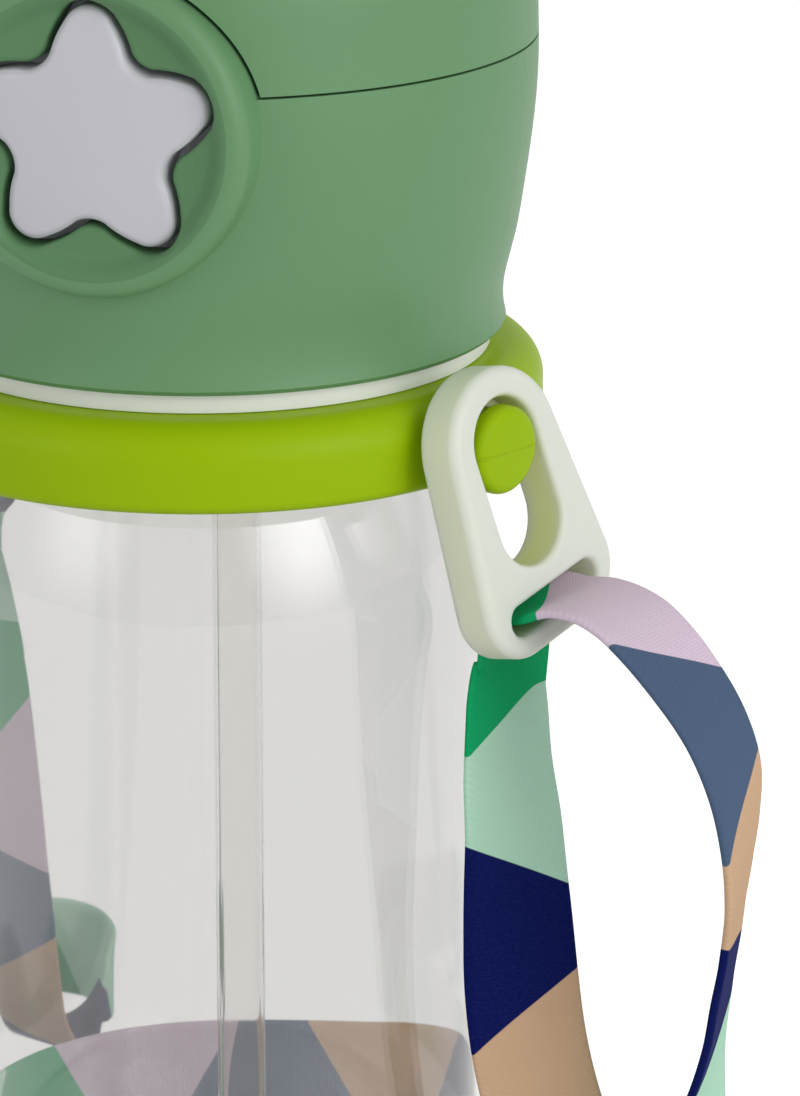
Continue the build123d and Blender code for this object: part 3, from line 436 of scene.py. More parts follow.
for block in range(BLOCK_COUNT + 1):
    lean = BORDER_LEAN if block % 2 else -BORDER_LEAN
    border = FIRST_BORDER + BLOCK * block - lean * STRAP_W / 2
    inputs = {0: spot, 1: (-lean, 1.0, border)}
    beyond = add(blocks, "ShaderNodeVectorMath", inputs, operation="DOT_PRODUCT").outputs["Value"]
    edge = math(blocks, "MULTIPLY_ADD", beyond, BORDER_SHARPNESS, 0.5, clamp=True)
    color = mixed(blocks, edge, color, PALETTE[COLOR_ORDER[block % len(COLOR_ORDER)]] + (1.0,))
fill(blocks, blocks_out, Color=color, Across=across, Along=along)
print("print blocks:", BLOCK_COUNT, "repeat mm:", REPEAT)

# %% Weave: crosswise ribs, lengthwise yarns and a braided selvedge
WEFT, WARP, SELVEDGE, BRAID = 0.42, 0.55, 1.1, 0.85  # millimetres
RIB, CROSSED, BRAIDED, FLECKED = 0.16, 0.22, 0.22, 0.9  # their shares of the height
BRAID_SLANT = 3.0
weave, weave_in, weave_out = new_group(
    "Woven band",
    [("Across", FLOAT, 0.0), ("Along", FLOAT, 0.0), ("Width", FLOAT, STRAP_W)],
    [("Height", FLOAT), ("Selvedge", FLOAT), ("Fleck", FLOAT)],
)
u, v = weave_in.outputs["Across"], weave_in.outputs["Along"]
weft = math(weave, "SINE", math(weave, "MULTIPLY", v, 2 * pi / WEFT))
warp = math(weave, "SINE", math(weave, "MULTIPLY", u, 2 * pi / WARP))
crossing = math(weave, "MULTIPLY", weft, warp)
rib = math(weave, "MULTIPLY_ADD", crossing, CROSSED, math(weave, "MULTIPLY", weft, RIB))
from_edge = math(weave, "MINIMUM", u, math(weave, "SUBTRACT", weave_in.outputs["Width"], u))
edge_band = eased(weave, from_edge, SELVEDGE, SELVEDGE * 0.8)
slant = math(weave, "MULTIPLY", from_edge, BRAID_SLANT)
braid_turn = math(weave, "ADD", math(weave, "MULTIPLY", v, 2 * pi / BRAID), slant)
braid = math(weave, "MULTIPLY", math(weave, "SINE", braid_turn), BRAIDED)
sides = {0: edge_band, 2: rib, 3: braid}
height = add(weave, "ShaderNodeMix", sides, data_type="FLOAT").outputs[0]
flat = {0: u, 1: math(weave, "MULTIPLY", v, 3.0), 2: 0.0}
flecks = noise(weave, add(weave, "ShaderNodeCombineXYZ", flat).outputs[0], 1.5, 4.0, 0.8)
height = math(weave, "MULTIPLY_ADD", flecks, FLECKED, height)
fleck = eased(weave, flecks, 0.42, 0.68)
fill(weave, weave_out, Height=height, Selvedge=edge_band, Fleck=fleck)


# %% Webbing material
WEAR, WORN_COLOR = 0.03, (0.26, 0.32, 0.34, 1.0)  # how far a fleck takes on the worn colour


def webbing(name, start):
    """Printed woven polyester whose pattern begins at a length along the repeat."""
    material, tree, principled = new_material(name)
    printed = use_group(tree, blocks, Start=start)
    across, along = printed.outputs["Across"], printed.outputs["Along"]
    woven = use_group(tree, weave, Across=across, Along=along)
    wear = math(tree, "MULTIPLY", woven.outputs["Fleck"], WEAR)
    worn = mixed(tree, wear, printed.outputs["Color"], WORN_COLOR)
    # painted shade: the print is darker in the weave's valleys and lighter on its ribs, and its
    # tone also varies with the flecks
    shade_and_fleck = math(tree, "MULTIPLY_ADD", woven.outputs["Height"], 0.14, 0.94)
    inputs = {0: worn, "Scale": shade_and_fleck}
    shade = add(tree, "ShaderNodeVectorMath", inputs, operation="SCALE").outputs[0]
    gloss = math(tree, "MULTIPLY_ADD", woven.outputs["Selvedge"], 0.1, 0.78)
    normal = bumped(tree, 0.7, 0.00009, woven.outputs["Height"])
    fill(tree, principled, Base_Color=shade, Roughness=gloss, Normal=normal)
    fill(tree, principled, Specular_IOR_Level=0.08)
    return material


# %% [markdown]
# ## The clear bottle
# A blown bottle has a wall of even thickness, a round shoulder, a bead above the shoulder and a
# threaded neck. Turned as one closed profile, outside up and inside down, it has true walls that
# bend light. The two threads are ridges that follow a helix and taper away at both ends.

# %% Bottle profile
BODY_R, BODY_WALL, BASE_WALL, BASE_FILLET = 36.4, 1.9, 3.0, 5.0
SHOULDER_Z, SHOULDER_ARC, RING_Z = 96.0, 47.0, 118.0
FLANGE_R, FLANGE_Z, FLANGE_H, NECK_TOP = 35.8, 129.1, 2.0, 141.7
NECK_CUT = 120.0  # under the ring, where the clear wall ends and the milky neck begins
shoulder_x = BODY_R - SHOULDER_ARC
shoulder_turn = asin((RING_Z - SHOULDER_Z) / SHOULDER_ARC)
NECK_R = shoulder_x + SHOULDER_ARC * cos(shoulder_turn)


def shoulder(offset, steps=24):
    """Arc of the shoulder, drawn in by an offset: centre plus radius times cosine and sine."""
    angle = np.linspace(0, shoulder_turn, steps)
    arc = SHOULDER_ARC - offset
    return np.array([shoulder_x, SHOULDER_Z]) + polar(arc, angle)


def wall_profile():
    """Closed outline of the clear wall: foot, outside, cut under the ring, inside, floor."""
    foot = rounded(
        [(0, 1.6), (20, 1.4), (25, 0), (BODY_R, 0), (BODY_R, SHOULDER_Z)],
        [0, 5, 5, BASE_FILLET, 0], 8, closed=False,
    )
    inside = BODY_R - BODY_WALL
    floor = rounded(
        [(inside, SHOULDER_Z - 2), (inside, BASE_WALL), (0, BASE_WALL + 0.6)],
        [0, BASE_FILLET - BODY_WALL + 2.0, 0], 10, closed=False,
    )
    cut = [(NECK_R, NECK_CUT), (NECK_R - BODY_WALL, NECK_CUT)]
    return np.vstack([foot[:-1], shoulder(0), cut, shoulder(BODY_WALL)[::-1], floor])


def neck_profile():
    """Closed outline of the neck: outside with its bead, over the rim, down the inside."""
    inner = NECK_R - BODY_WALL
    under, over = FLANGE_Z - 0.2, FLANGE_Z + FLANGE_H + 0.3
    outline = [
        (NECK_R, NECK_CUT), (NECK_R, under), (FLANGE_R, under), (FLANGE_R, over),
        (NECK_R, over), (NECK_R, NECK_TOP), (inner, NECK_TOP), (inner, NECK_CUT),
    ]
    return rounded(outline, [0, 0.2, 0.15, 0.15, 0.3, 0.6, 0.6, 0], 5)


for name, profile, finish in (
    ("clear_wall", wall_profile(), clear_plastic), ("milky_neck", neck_profile(), milky_plastic_painted_glow)
):
    grids = [(turned_grid(profile, 256), True, True)]
    piece = finish_mesh(name, grids, "bottle", finish)
    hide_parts("bottle_body")

# %% Threads
def ridge_grid(root, z, start, span, height=1.5, lead=9.0, steps=120):
    """Ridge along a helix: angle runs, height rises by lead a turn, section swells and tapers."""
    t = np.linspace(0, 1, steps)[:, None]
    angle = radians(start) + radians(span) * t
    swell = np.clip(np.minimum(t, 1 - t) * 14, 0.02, 1) ** 0.5
    corners = [(-0.15, -1.15), (1.0, -0.55), (1.0, 0.55), (-0.15, 1.15)]
    section = rounded(corners, [0, 0.25, 0.25, 0], 3)
    radius = root + section[:, 0][None] * height * swell
    level = z + lead * t * span / 360 + section[:, 1][None]
    return np.stack([radius * np.sin(angle), -radius * np.cos(angle), level], -1)


THREAD_Z, THREAD_SPAN = 133.3, 150
ridges = [ridge_grid(NECK_R, THREAD_Z, start, THREAD_SPAN) for start in (90, 270)]
grids = [(capped(ridge), False, True) for ridge in ridges]
finish_mesh("neck_threads", grids, "bottle", milky_plastic_painted_glow)

# %% [markdown]
# ## The soft ring
# A rubber ring sits round the neck and carries the strap on two studs shaped like mushrooms. Its
# upper edge rolls over in a large round, its lower edge is crisper. Each stud is a short turned
# profile carried out along its own axis, with the fine line that the mould leaves across its head.

# %% Ring and studs
RING_R, RING_TOP = 42.5, 128.8
STUD_AZIMUTH, STUD_Z, STUD_FROM, STUD_NECK_R = 65.5, 123.4, 40.5, 4.2
STUD_HEAD_R, STUD_HEAD_H, STUD_HEAD_AT, HEAD_ROUND = 5.45, 2.8, 47.4, 1.35
STUD_FACE = STUD_HEAD_AT + STUD_HEAD_H
LINE_HALF, LINE_H = 0.16, 0.10  # the mould line across the head


def outward(azimuth):
    """Level direction at an azimuth from the front towards +X, and the level one beside it."""
    a = radians(azimuth)
    return np.array([sin(a), -cos(a), 0.0]), np.array([cos(a), sin(a), 0.0])


ring_inner = NECK_R + 0.3
ring_profile = rounded(
    [(ring_inner, RING_Z + 0.2), (RING_R, RING_Z), (RING_R, RING_TOP), (ring_inner, RING_TOP)],
    [0.4, 1.4, 4.6, 0.4], 14,
)
grids = [(turned_grid(ring_profile, 288), True, True)]
stud_profile = rounded(
    [(0, STUD_FROM), (STUD_NECK_R, STUD_FROM), (STUD_NECK_R, STUD_HEAD_AT),
     (STUD_HEAD_R, STUD_HEAD_AT), (STUD_HEAD_R, STUD_FACE), (0, STUD_FACE + 0.12)],
    [0, 0, 0.3, 0.5, HEAD_ROUND, 0], 8, closed=False,
)
line_across = np.linspace(-1, 1, 60)[:, None]
for azimuth in (STUD_AZIMUTH, STUD_AZIMUTH - 180):
    out, beside = outward(azimuth)
    stud = turned_grid(stud_profile, 96)
    grids.append((placed(stud, (0, 0, STUD_Z), beside, up, out), True, False))
    # mould line: a thin half-round bead that follows the head's rounded face
    reach = line_across * (STUD_HEAD_R + 0.02)
    drop = np.clip(np.abs(reach) - (STUD_HEAD_R - HEAD_ROUND), 0, HEAD_ROUND)
    face = STUD_FACE + 0.03 - (HEAD_ROUND - np.sqrt(np.clip(HEAD_ROUND**2 - drop**2, 0, None)))
    around = np.linspace(0, 2 * pi, 8, endpoint=False)[None]
    width, height = LINE_HALF * np.cos(around), LINE_H * np.sin(around)
    bead = np.stack([reach + 0 * around, width + 0 * reach, face + height], -1)
    grids.append((placed(capped(bead), (0, 0, STUD_Z), beside, up, out), False, True))
ring = finish_mesh("soft_ring", grids, "bottle", lime)
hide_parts("neck_ring")

# %% [markdown]
# ## The tabs
# A tab is one soft moulding, 6.2 mm thick: a button hole that slips over the stud and a slot for
# the strap. The way in which its edges roll over is all of its look. So its two faces are height
# fields: at each point of the tab's outline the thickness falls away near the rim, the hole and
# the slot by a quarter circle of that edge's own radius. Two rings of quads cover it, one round
# the hole and one round the slot, and they meet on a line between the two.

# %% Tab outline
TAB_T, TAB_TOP_R, TAB_BOTTOM_W, TAB_CORNER_R, TAB_DROP = 6.2, 9.8, 24.3, 6.6, 25.1
HOLE_W, HOLE_UP, HOLE_DOWN, SLOT_DROP, SLOT_HALF, SLOT_H = 11.5, 6.2, 15.3, 20.2, 8.5, 3.8
EDGE, HOLE_EDGE, SLOT_EDGE = 1.35, 0.8, 0.8
LIP_R, LIP_DROP = 5.4, 5.2
TAB_AT = 47.0  # how far out a tab's middle plane meets its stud's axis
MEETING = -(HOLE_DOWN + SLOT_DROP - SLOT_H / 2) / 2


def tab_outline(count=720):
    """Convex outline round three circles: each direction's furthest circle point."""
    angle = np.linspace(0, 2 * pi, count, endpoint=False)
    d = polar(1.0, angle)
    foot, low = TAB_BOTTOM_W / 2 - TAB_CORNER_R, TAB_CORNER_R - TAB_DROP
    circles = np.array([(0, 0, TAB_TOP_R), (foot, low, TAB_CORNER_R), (-foot, low, TAB_CORNER_R)])
    best = (d @ circles[:, :2].T + circles[:, 2]).argmax(1)
    return circles[best, :2] + d * circles[best, 2:3]


def evenly(points, count):
    """The same open line with its points spaced evenly along it."""
    lengths = np.r_[0, np.cumsum(np.hypot(*np.diff(points, axis=0).T))]
    at = np.linspace(0, lengths[-1], count)
    return np.stack([np.interp(at, lengths, points[:, i]) for i in (0, 1)], 1)


outline = tab_outline()
closed_outline = evenly(np.vstack([outline, outline[:1]]), 900)


def to_outline(p):
    """Distance of each point to the outline: shortest over its short straight pieces."""
    a, b = closed_outline[:-1], closed_outline[1:]
    ab = b - a
    flat_p = p.reshape(-1, 1, 2)
    t = np.clip(((flat_p - a) * ab).sum(-1) / (ab**2).sum(-1), 0, 1)[..., None]
    return np.sqrt(((flat_p - a - t * ab) ** 2).sum(-1).min(1)).reshape(p.shape[:-1])


def onto_stadium(p, first, last, radius):
    """Nearest point on a slot shape: nearest point of its middle line, then a radius outward."""
    first, last = np.array(first), np.array(last)
    axis = last - first
    t = np.clip(((p - first) @ axis) / (axis @ axis), 0, 1)[..., None]
    middle = first + t * axis
    away = p - middle
    length = np.hypot(away[..., 0], away[..., 1])[..., None]
    return middle + away / np.maximum(length, 1e-9) * radius


HOLE = ((0, HOLE_UP - HOLE_W / 2), (0, HOLE_W / 2 - HOLE_DOWN), HOLE_W / 2)
SLOT = ((-SLOT_HALF + SLOT_H / 2, -SLOT_DROP), (SLOT_HALF - SLOT_H / 2, -SLOT_DROP), SLOT_H / 2)


def roll(distance, radius):
    """How far a face drops near an edge: a quarter circle that ends level at its radius."""
    inset = radius - np.minimum(distance, radius)
    return radius - np.sqrt(np.maximum(radius**2 - inset**2, 0))


def half_thickness(p):
    """Half of the tab's thickness at a point: full, less the largest of the three edge rolls."""
    rolls = [roll(to_outline(p), EDGE)]
    for stadium, radius in ((HOLE, HOLE_EDGE), (SLOT, SLOT_EDGE)):
        rolls.append(roll(np.hypot(*np.moveaxis(p - onto_stadium(p, *stadium), -1, 0)), radius))
    return TAB_T / 2 - np.max(rolls, 0)


# %% Tab rings
def tab_grids():
    """Faces and edge walls of the tab in its own plane, as grids that share their rims."""
    right = outline[outline[:, 0] > 0]
    right = right[np.argsort(-right[:, 1])]
    corner_x = np.interp(-MEETING, -right[:, 1], right[:, 0])
    ends = [[-corner_x, MEETING]], [[corner_x, MEETING]]
    rims = []
    for side, count in ((1, 220), (-1, 160)):
        above = side * (outline[:, 1] - MEETING)
        rim, above = outline[above > 0], above[above > 0]
        rim = rim[np.argsort(np.arctan2(rim[:, 0], above))]
        rims.append(evenly(np.vstack([ends[0], rim, ends[1]]), count))
    seam = np.stack([np.linspace(corner_x, -corner_x, 90), np.full(90, MEETING)], 1)[1:-1]
    share = (1 - np.cos(pi * np.linspace(0, 1, 30))) / 2
    wall = np.linspace(1, -1, 5)[None, :, None]
    grids = []
    for rim, stadium in zip(rims, (HOLE, SLOT)):
        rim = np.vstack([rim, seam])
        inner = onto_stadium(rim, *stadium)
        flat = inner[:, None] + (rim - inner)[:, None] * share[None, :, None]
        half = half_thickness(flat)
        for side in (1, -1):
            grids.append((np.dstack([flat, side * half]), True, False))
        height = half[:, :1, None] * wall
        grids.append((np.concatenate([inner[:, None] + 0 * wall, height], -1), True, False))
    for rim in rims:
        height = half_thickness(rim[:, None])[..., None] * wall
        grids.append((np.concatenate([rim[:, None] + 0 * wall, height], -1), False, False))
    return grids


def lip_grid(lean):
    """Lip behind the stud's head: a flat bar carried round a U, open downwards."""
    lift = sin(radians(lean)) * (TAB_T - 2.0) / 2
    bow = np.array([0, lift]) + polar(LIP_R, np.linspace(0, pi, 40))
    path = np.vstack([[(LIP_R, -LIP_DROP)], bow, [(-LIP_R, -LIP_DROP)]])
    section = rounded([(-0.75, -2.3), (0.6, -2.3), (0.6, -1.1), (-0.75, -1.1)], [0.2, 0, 0, 0.3], 3)
    away = path - [0, lift]
    away[0], away[-1] = (1, 0), (-1, 0)
    away = away / np.hypot(*away.T)[:, None]
    flat = path[:, None] + away[:, None] * section[None, :, :1]
    return capped(np.concatenate([flat, np.repeat(section[None, :, 1:], len(path), 0)], -1))


def tab_frame(azimuth, swing, flare):
    """Origin and three directions of a tab's plane on its stud, swung and flared."""
    out, beside = outward(azimuth)
    f, s = radians(flare), radians(swing)
    lift = -sin(f) * out + cos(f) * up
    normal = cos(f) * out + sin(f) * up
    x_dir = cos(s) * beside + sin(s) * lift
    y_dir = -sin(s) * beside + cos(s) * lift
    return TAB_AT * out + STUD_Z * up, x_dir, y_dir, normal


def store_lime_bounce(mesh, place):
    """Share of painted bounce light on each point of a tab's walls: how far inside the rubber it
    lies, most in the button hole.
    """
    origin, *directions = tab_frame(*place)
    spots = np.empty(len(mesh.vertices) * 3, np.float32)
    mesh.vertices.foreach_get("co", spots)
    x, y, w = np.stack(directions) @ (spots.reshape(-1, 3) / MM - origin).T
    in_hole = (np.abs(x) < HOLE_W / 2 + 0.5) & (y > -HOLE_DOWN - 0.5) & (y < HOLE_UP + 0.5)
    share = np.clip((TAB_T / 2 - np.abs(w)) / 2.2, 0, 1) * np.where(in_hole, 1.0, 0.3)
    stored = mesh.attributes.new("lime_bounce", "FLOAT", "POINT").data
    stored.foreach_set("value", share.astype(np.float32))


RIGHT, LEFT = (STUD_AZIMUTH, 12.5, 11.7), (STUD_AZIMUTH - 180, -2.0, 8.0)
for name, place in (("tab_right", RIGHT), ("tab_left", LEFT)):
    flat_grids = tab_grids() + [(lip_grid(place[2]), False, True)]
    carried = [(placed(g, *tab_frame(*place)), a, b) for g, a, b in flat_grids]
    piece = finish_mesh("soft_" + name, carried, name, cream)
    store_lime_bounce(piece.data, place)
    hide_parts(name)

# %% [markdown]
# ## The strap
# The webbing runs through both tabs, down to a slider and round to a neat coil of the spare length.
# Each stretch is a thin band with rounded selvedges carried along a smooth line. The line passes
# through a few placed points, and at each the band's width has its own direction, so it can twist.

# %% Band along a line
STRAP_T, BAND_T = 1.3, 1.05  # the room that a layer takes, and the band as drawn
FINE = 4000


def through(values, knots, at):
    """Smooth curve through values: cubics whose slopes are the weighted mean of both sides."""
    step = np.diff(knots)[:, None]
    slope = np.diff(values, axis=0) / step
    middle = (step[1:] * slope[:-1] + step[:-1] * slope[1:]) / (step[1:] + step[:-1])
    slopes = np.vstack([slope[:1], middle, slope[-1:]])
    i = np.clip(np.searchsorted(knots, at, side="right") - 1, 0, len(knots) - 2)
    f, h = ((at - knots[i]) / np.diff(knots)[i])[:, None], step[i]
    return (
        (2 * f**3 - 3 * f**2 + 1) * values[i] + (f**3 - 2 * f**2 + f) * h * slopes[i]
        + (3 * f**2 - 2 * f**3) * values[i + 1] + (f**3 - f**2) * h * slopes[i + 1]
    )


def band(stations, zero=0, spacing=0.6):
    """Band grid, its (across, along) lengths, nought along at one station, and its whole length."""
    points = np.array([p for p, _ in stations], float)
    widths = np.array([w for _, w in stations], float)
    widths /= np.linalg.norm(widths, axis=1)[:, None]
    knots = np.r_[0, np.cumsum(np.linalg.norm(np.diff(points, axis=0), axis=1))]
    ticks = np.linspace(0, knots[-1], FINE)
    fine = through(points, knots, ticks)
    run = np.r_[0, np.cumsum(np.linalg.norm(np.diff(fine, axis=0), axis=1))]
    even = np.interp(np.linspace(0, run[-1], int(run[-1] / spacing)), run, ticks)
    line, side = through(points, knots, even), through(widths, knots, even)
    along = np.gradient(line, axis=0)
    along /= np.linalg.norm(along, axis=1)[:, None]
    side -= (side * along).sum(1)[:, None] * along
    side /= np.linalg.norm(side, axis=1)[:, None]
    face = np.cross(along, side)
    half, edge = STRAP_W / 2, BAND_T / 2
    turn = np.linspace(-pi / 2, pi / 2, 7)
    right = np.stack([half - edge + edge * np.cos(turn), edge * np.sin(turn)], 1)
    over = np.stack([np.linspace(half - edge, -half + edge, 14)[1:-1], np.full(12, edge)], 1)
    section = np.vstack([right, over, -right, -over])
    in_side, in_face = section[None, :, :1], section[None, :, 1:]
    grid = line[:, None] + in_side * side[:, None] + in_face * face[:, None]
    lengths = np.interp(even, ticks, run) - np.interp(knots[zero], ticks, run)
    stored = np.zeros(grid.shape)
    stored[..., 0] = section[:, 0] + half
    stored[..., 1] = lengths[:, None]
    return grid, stored, run[-1]


def strap_piece(name, made, body, start):
    """Object from a band, with the pattern's lengths stored on its points."""
    grid, stored, _ = made
    lengths = np.concatenate([stored[:1], stored, stored[-1:]]).reshape(-1, 3)
    printed = webbing("webbing_" + name, start)
    return finish_mesh(name, [(capped(grid), False, True)], body, printed, lengths)


# %% Strap stations
def level(angle):
    """Level direction at an angle from +X towards +Y."""
    return (cos(radians(angle)), sin(radians(angle)), 0.0)


GLIDE_HEADING, GLIDE_X, GLIDE_Y = 122.0, 47.3, 22.4
GLIDE_TURN = GLIDE_HEADING - 90  # angle of the band's width in the slider


def along_glide(s, z):
    """Point on the strap's straight stretch through the slider."""
    heading = level(GLIDE_HEADING)
    return (GLIDE_X + s * heading[0], GLIDE_Y + s * heading[1], z)


def turned_level(*path):
    """Stations whose width is level, from (x, y, z, angle) rows."""
    return [((x, y, z), level(angle)) for x, y, z, angle in path]


def in_slider(*path):
    """Stations of the stretch through the slider, from (along, height) pairs."""
    return [(along_glide(s, z), level(GLIDE_TURN)) for s, z in path]


def standing(*path):
    """Stations of a stretch that stands on its edge, from (x, y) pairs."""
    return [((x, y, STAND_Z), up) for x, y in path]


STAND_Z = 7.8
# from the tab over a hump, since the strap rises off the bar, and down to the slider
OUTER_LEG = [
    ((51.4, -18.4, 104.4), (0.36, 0.92, 0.10)),
    ((54.6, -19.9, 105.4), (0.35, 0.93, 0.03)),
    ((58.0, -21.3, 105.4), (0.34, 0.94, 0.0)),
    ((61.4, -22.6, 104.3), (0.34, 0.94, 0.0)),
    ((64.8, -23.9, 102.0), (0.33, 0.94, 0.0)),
    ((68.6, -24.9, 98.2), (0.29, 0.95, 0.0)),
] + turned_level(
    (72.8, -25.7, 92.5, 77), (75.3, -25.6, 86.0, 81), (76.0, -25.0, 79.1, 88),
    (75.6, -23.7, 72.2, 94), (74.5, -21.9, 65.5, 96), (73.2, -19.6, 59.0, 95),
    (71.7, -16.9, 52.0, 95), (69.9, -14.0, 44.6, 91), (68.2, -12.2, 36.6, 80),
    (66.4, -10.0, 28.6, 66), (64.4, -7.0, 20.8, 52), (62.2, -3.2, 13.6, 42),
    (59.8, 1.4, 7.6, 35), (57.0, 6.4, 3.8, GLIDE_TURN),
) + in_slider(
    (-12.0, 2.4), (-6.6, 3.1), (-4.1, 4.9), (-3.2, 7.4), (-1.6, 9.1), (0.5, 9.3),
    (2.5, 8.3), (3.2, 6.2), (2.8, 3.7), (1.0, 1.7), (-2.2, 0.95), (-12.0, 0.85),
)
INNER_LEG = [
    ((43.7, -14.4, 91.4), (0.38, 0.92, 0.06)),
] + turned_level(
    (43.9, -15.1, 86.6, 64), (44.2, -15.6, 80.6, 60), (44.9, -15.6, 73.2, 54),
    (45.1, -15.2, 66.7, 48), (45.4, -14.9, 60.1, 41), (45.8, -14.4, 52.0, 33),
    (46.6, -13.6, 43.6, 30), (48.0, -12.1, 35.2, 30), (49.9, -9.7, 27.0, 31),
    (52.0, -6.0, 19.4, GLIDE_TURN), (54.0, -0.4, 12.6, GLIDE_TURN), (54.6, 6.0, 7.4, GLIDE_TURN),
) + in_slider(
    (-12.5, 4.5), (-9.0, 4.4), (-7.2, 4.9), (-6.0, 6.6), (-5.2, 8.9), (-3.2, 10.9),
    (0.2, 11.5), (3.5, 10.7), (5.4, 8.6), (6.0, 6.3), (7.4, 4.3), (10.0, 2.3),
)
BACK_RUN = in_slider((14.0, 1.0)) + [
    (along_glide(20.0, 1.2), (0.85, 0.53, 0.10)),
    ((34.0, 43.8, 4.2), (0.76, 0.47, 0.44)),
    ((30.6, 48.6, 6.4), (0.53, 0.33, 0.78)),
    ((26.6, 52.6, 7.7), (0.20, 0.12, 0.97)),
] + standing(
    (21.2, 54.9), (13.8, 54.9), (5.0, 52.9), (-6.0, 50.2), (-17.0, 46.6),
    (-27.0, 41.0), (-35.2, 32.8), (-40.6, 22.4), (-42.7, 12.0),
)
LEFT_LEG = [
    ((-45.7, 22.8, 85.2), (0.42, 0.91, 0.03)),
] + turned_level(
    (-45.4, 24.2, 80.4, 62), (-45.3, 26.5, 72.4, 56), (-45.7, 29.1, 63.8, 48),
    (-46.3, 31.8, 55.2, 39), (-46.9, 34.6, 46.4, 30), (-47.4, 37.5, 37.6, 21),
    (-47.8, 40.8, 28.8, 13), (-48.4, 44.6, 20.2, 5), (-49.2, 49.2, 12.4, -2),
    (-49.0, 54.4, 6.2, -6), (-48.0, 59.8, 3.2, -9),
) + [
    ((-46.6, 64.8, 4.4), (0.88, -0.16, 0.42)),
    ((-45.0, 69.4, 6.6), (0.58, -0.14, 0.80)),
    ((-44.0, 73.8, 7.7), (0.20, -0.04, 0.98)),
] + standing(
    (-45.2, 78.4), (-49.2, 82.2), (-55.0, 83.8), (-61.2, 82.4), (-67.0, 78.2), (-71.8, 70.6),
    (-75.2, 59.6), (-77.4, 46.0), (-78.6, 30.0), (-78.9, 18.0), (-78.9, 10.0),
)

# %% Strap stretches
SLOT_LOW = -SLOT_DROP - SLOT_H / 2
BAR_OUT = TAB_T / 2 + 0.3 + STRAP_T / 2
BAR_TOP = SLOT_LOW + 0.3 + STRAP_T / 2
# the strap's way through each slot, as (up, out) in the tab's own plane
RIGHT_TOP = [
    (SLOT_LOW - 5.9, -BAR_OUT - 2.9), (SLOT_LOW - 2.2, -BAR_OUT - 1.0),
    (SLOT_LOW + 0.2, -BAR_OUT - 0.1), (BAR_TOP, -TAB_T / 2 - 0.3),
]
LAYER = STRAP_T / 2 + 0.1
LEFT_TOP = [
    (-TAB_DROP - 8.0, LAYER), (-TAB_DROP - 5.0, LAYER), (-TAB_DROP - 0.4, BAR_OUT),
    (SLOT_LOW + 0.3, BAR_OUT), (BAR_TOP, TAB_T / 2 + 0.25), (BAR_TOP, -TAB_T / 2 - 0.25),
    (SLOT_LOW + 0.3, -BAR_OUT), (-TAB_DROP - 0.4, -BAR_OUT), (-TAB_DROP - 5.0, -LAYER),
    (-TAB_DROP - 10.0, -LAYER),
]


def in_tab(place, path):
    """Stations of (up, out) points in a tab's middle plane, with the width along its slot."""
    origin, x_dir, y_dir, normal = tab_frame(*place)
    return [(origin + u * y_dir + w * normal, x_dir) for u, w in path]


right_line = BACK_RUN[::-1] + INNER_LEG[::-1] + in_tab(RIGHT, RIGHT_TOP) + OUTER_LEG
slot_at = len(BACK_RUN) + len(INNER_LEG) + len(RIGHT_TOP) - 1
right_band = band(right_line, slot_at)
right_strap = strap_piece("right_strap", right_band, None, 0.0)
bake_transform(right_strap)
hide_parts("strap_right_top", "strap_outer_leg", "strap_inner_leg", "strap_back_run")
left_line = in_tab(LEFT, LEFT_TOP) + LEFT_LEG
left_band = band(left_line, 5)
left_strap = strap_piece("left_strap", left_band, None, 80.0)
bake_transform(left_strap)
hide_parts("strap_left_top", "strap_left_leg")
for piece, made, tab in (
    (right_strap, right_band, "tab_right"), (left_strap, left_band, "tab_left")
):
    print(piece.name, "length mm:", round(made[2], 1))

# %% Coil of spare strap
COIL_TURNS, COIL_PITCH, COIL_R, COIL_X, COIL_Y = 8, 1.62, 16.3, -60.8, 8.0
WAVE, RISE = 0.12, 0.15  # how far the turns wander outwards and upwards
angle = np.linspace(0, COIL_TURNS * 2 * pi, COIL_TURNS * 80)[:, None]
radius = COIL_R - COIL_PITCH * angle / (2 * pi) + WAVE * np.sin(angle * 1.7)
level_z = STAND_Z + RISE * np.sin(angle / 3)
spiral = np.hstack([COIL_X + radius * np.cos(angle), COIL_Y - radius * np.sin(angle), level_z])
coil_band = band([(p, up) for p in spiral[::4]], spacing=1.0)
coil = strap_piece("woven_coil", coil_band, "bottle", 40.0)
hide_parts("strap_coil")
print("coil length mm:", round(coil_band[2], 1))

# %% [markdown]
# ## Button and its dish
# The button is a star with soft points that stands in a dished plate. Its outline is a polygon with
# every tip and valley rounded. The cap's face is a grid from the middle out to that outline, and
# near the outline it rolls over by a quarter circle, as the tab does.

# %% Star outline
DRUM_Z, DRUM_FRONT, BORE_R = 163.8, 42.8, 17.4
STAR_TIP, STAR_VALLEY, STAR_TIP_R, STAR_VALLEY_R, STAR_AIR = 19.8, 9.4, 3.1, 4.0, 0.8
BEZEL_BACK, AROUND = -37.5, 360
CAP_EDGE, CAP_DOME_R, CAP_BEHIND = 1.0, 90.0, 0.1
PAD_R, PAD_FROM, PAD_TO, PLUNGER_R, PLUNGER_END = 16.2, -37.2, -35.7, 3.4, -29.5
DISH_EDGE_R, DISH_DEEP, DISH_ROLL = 14.4, 1.5, 0.7


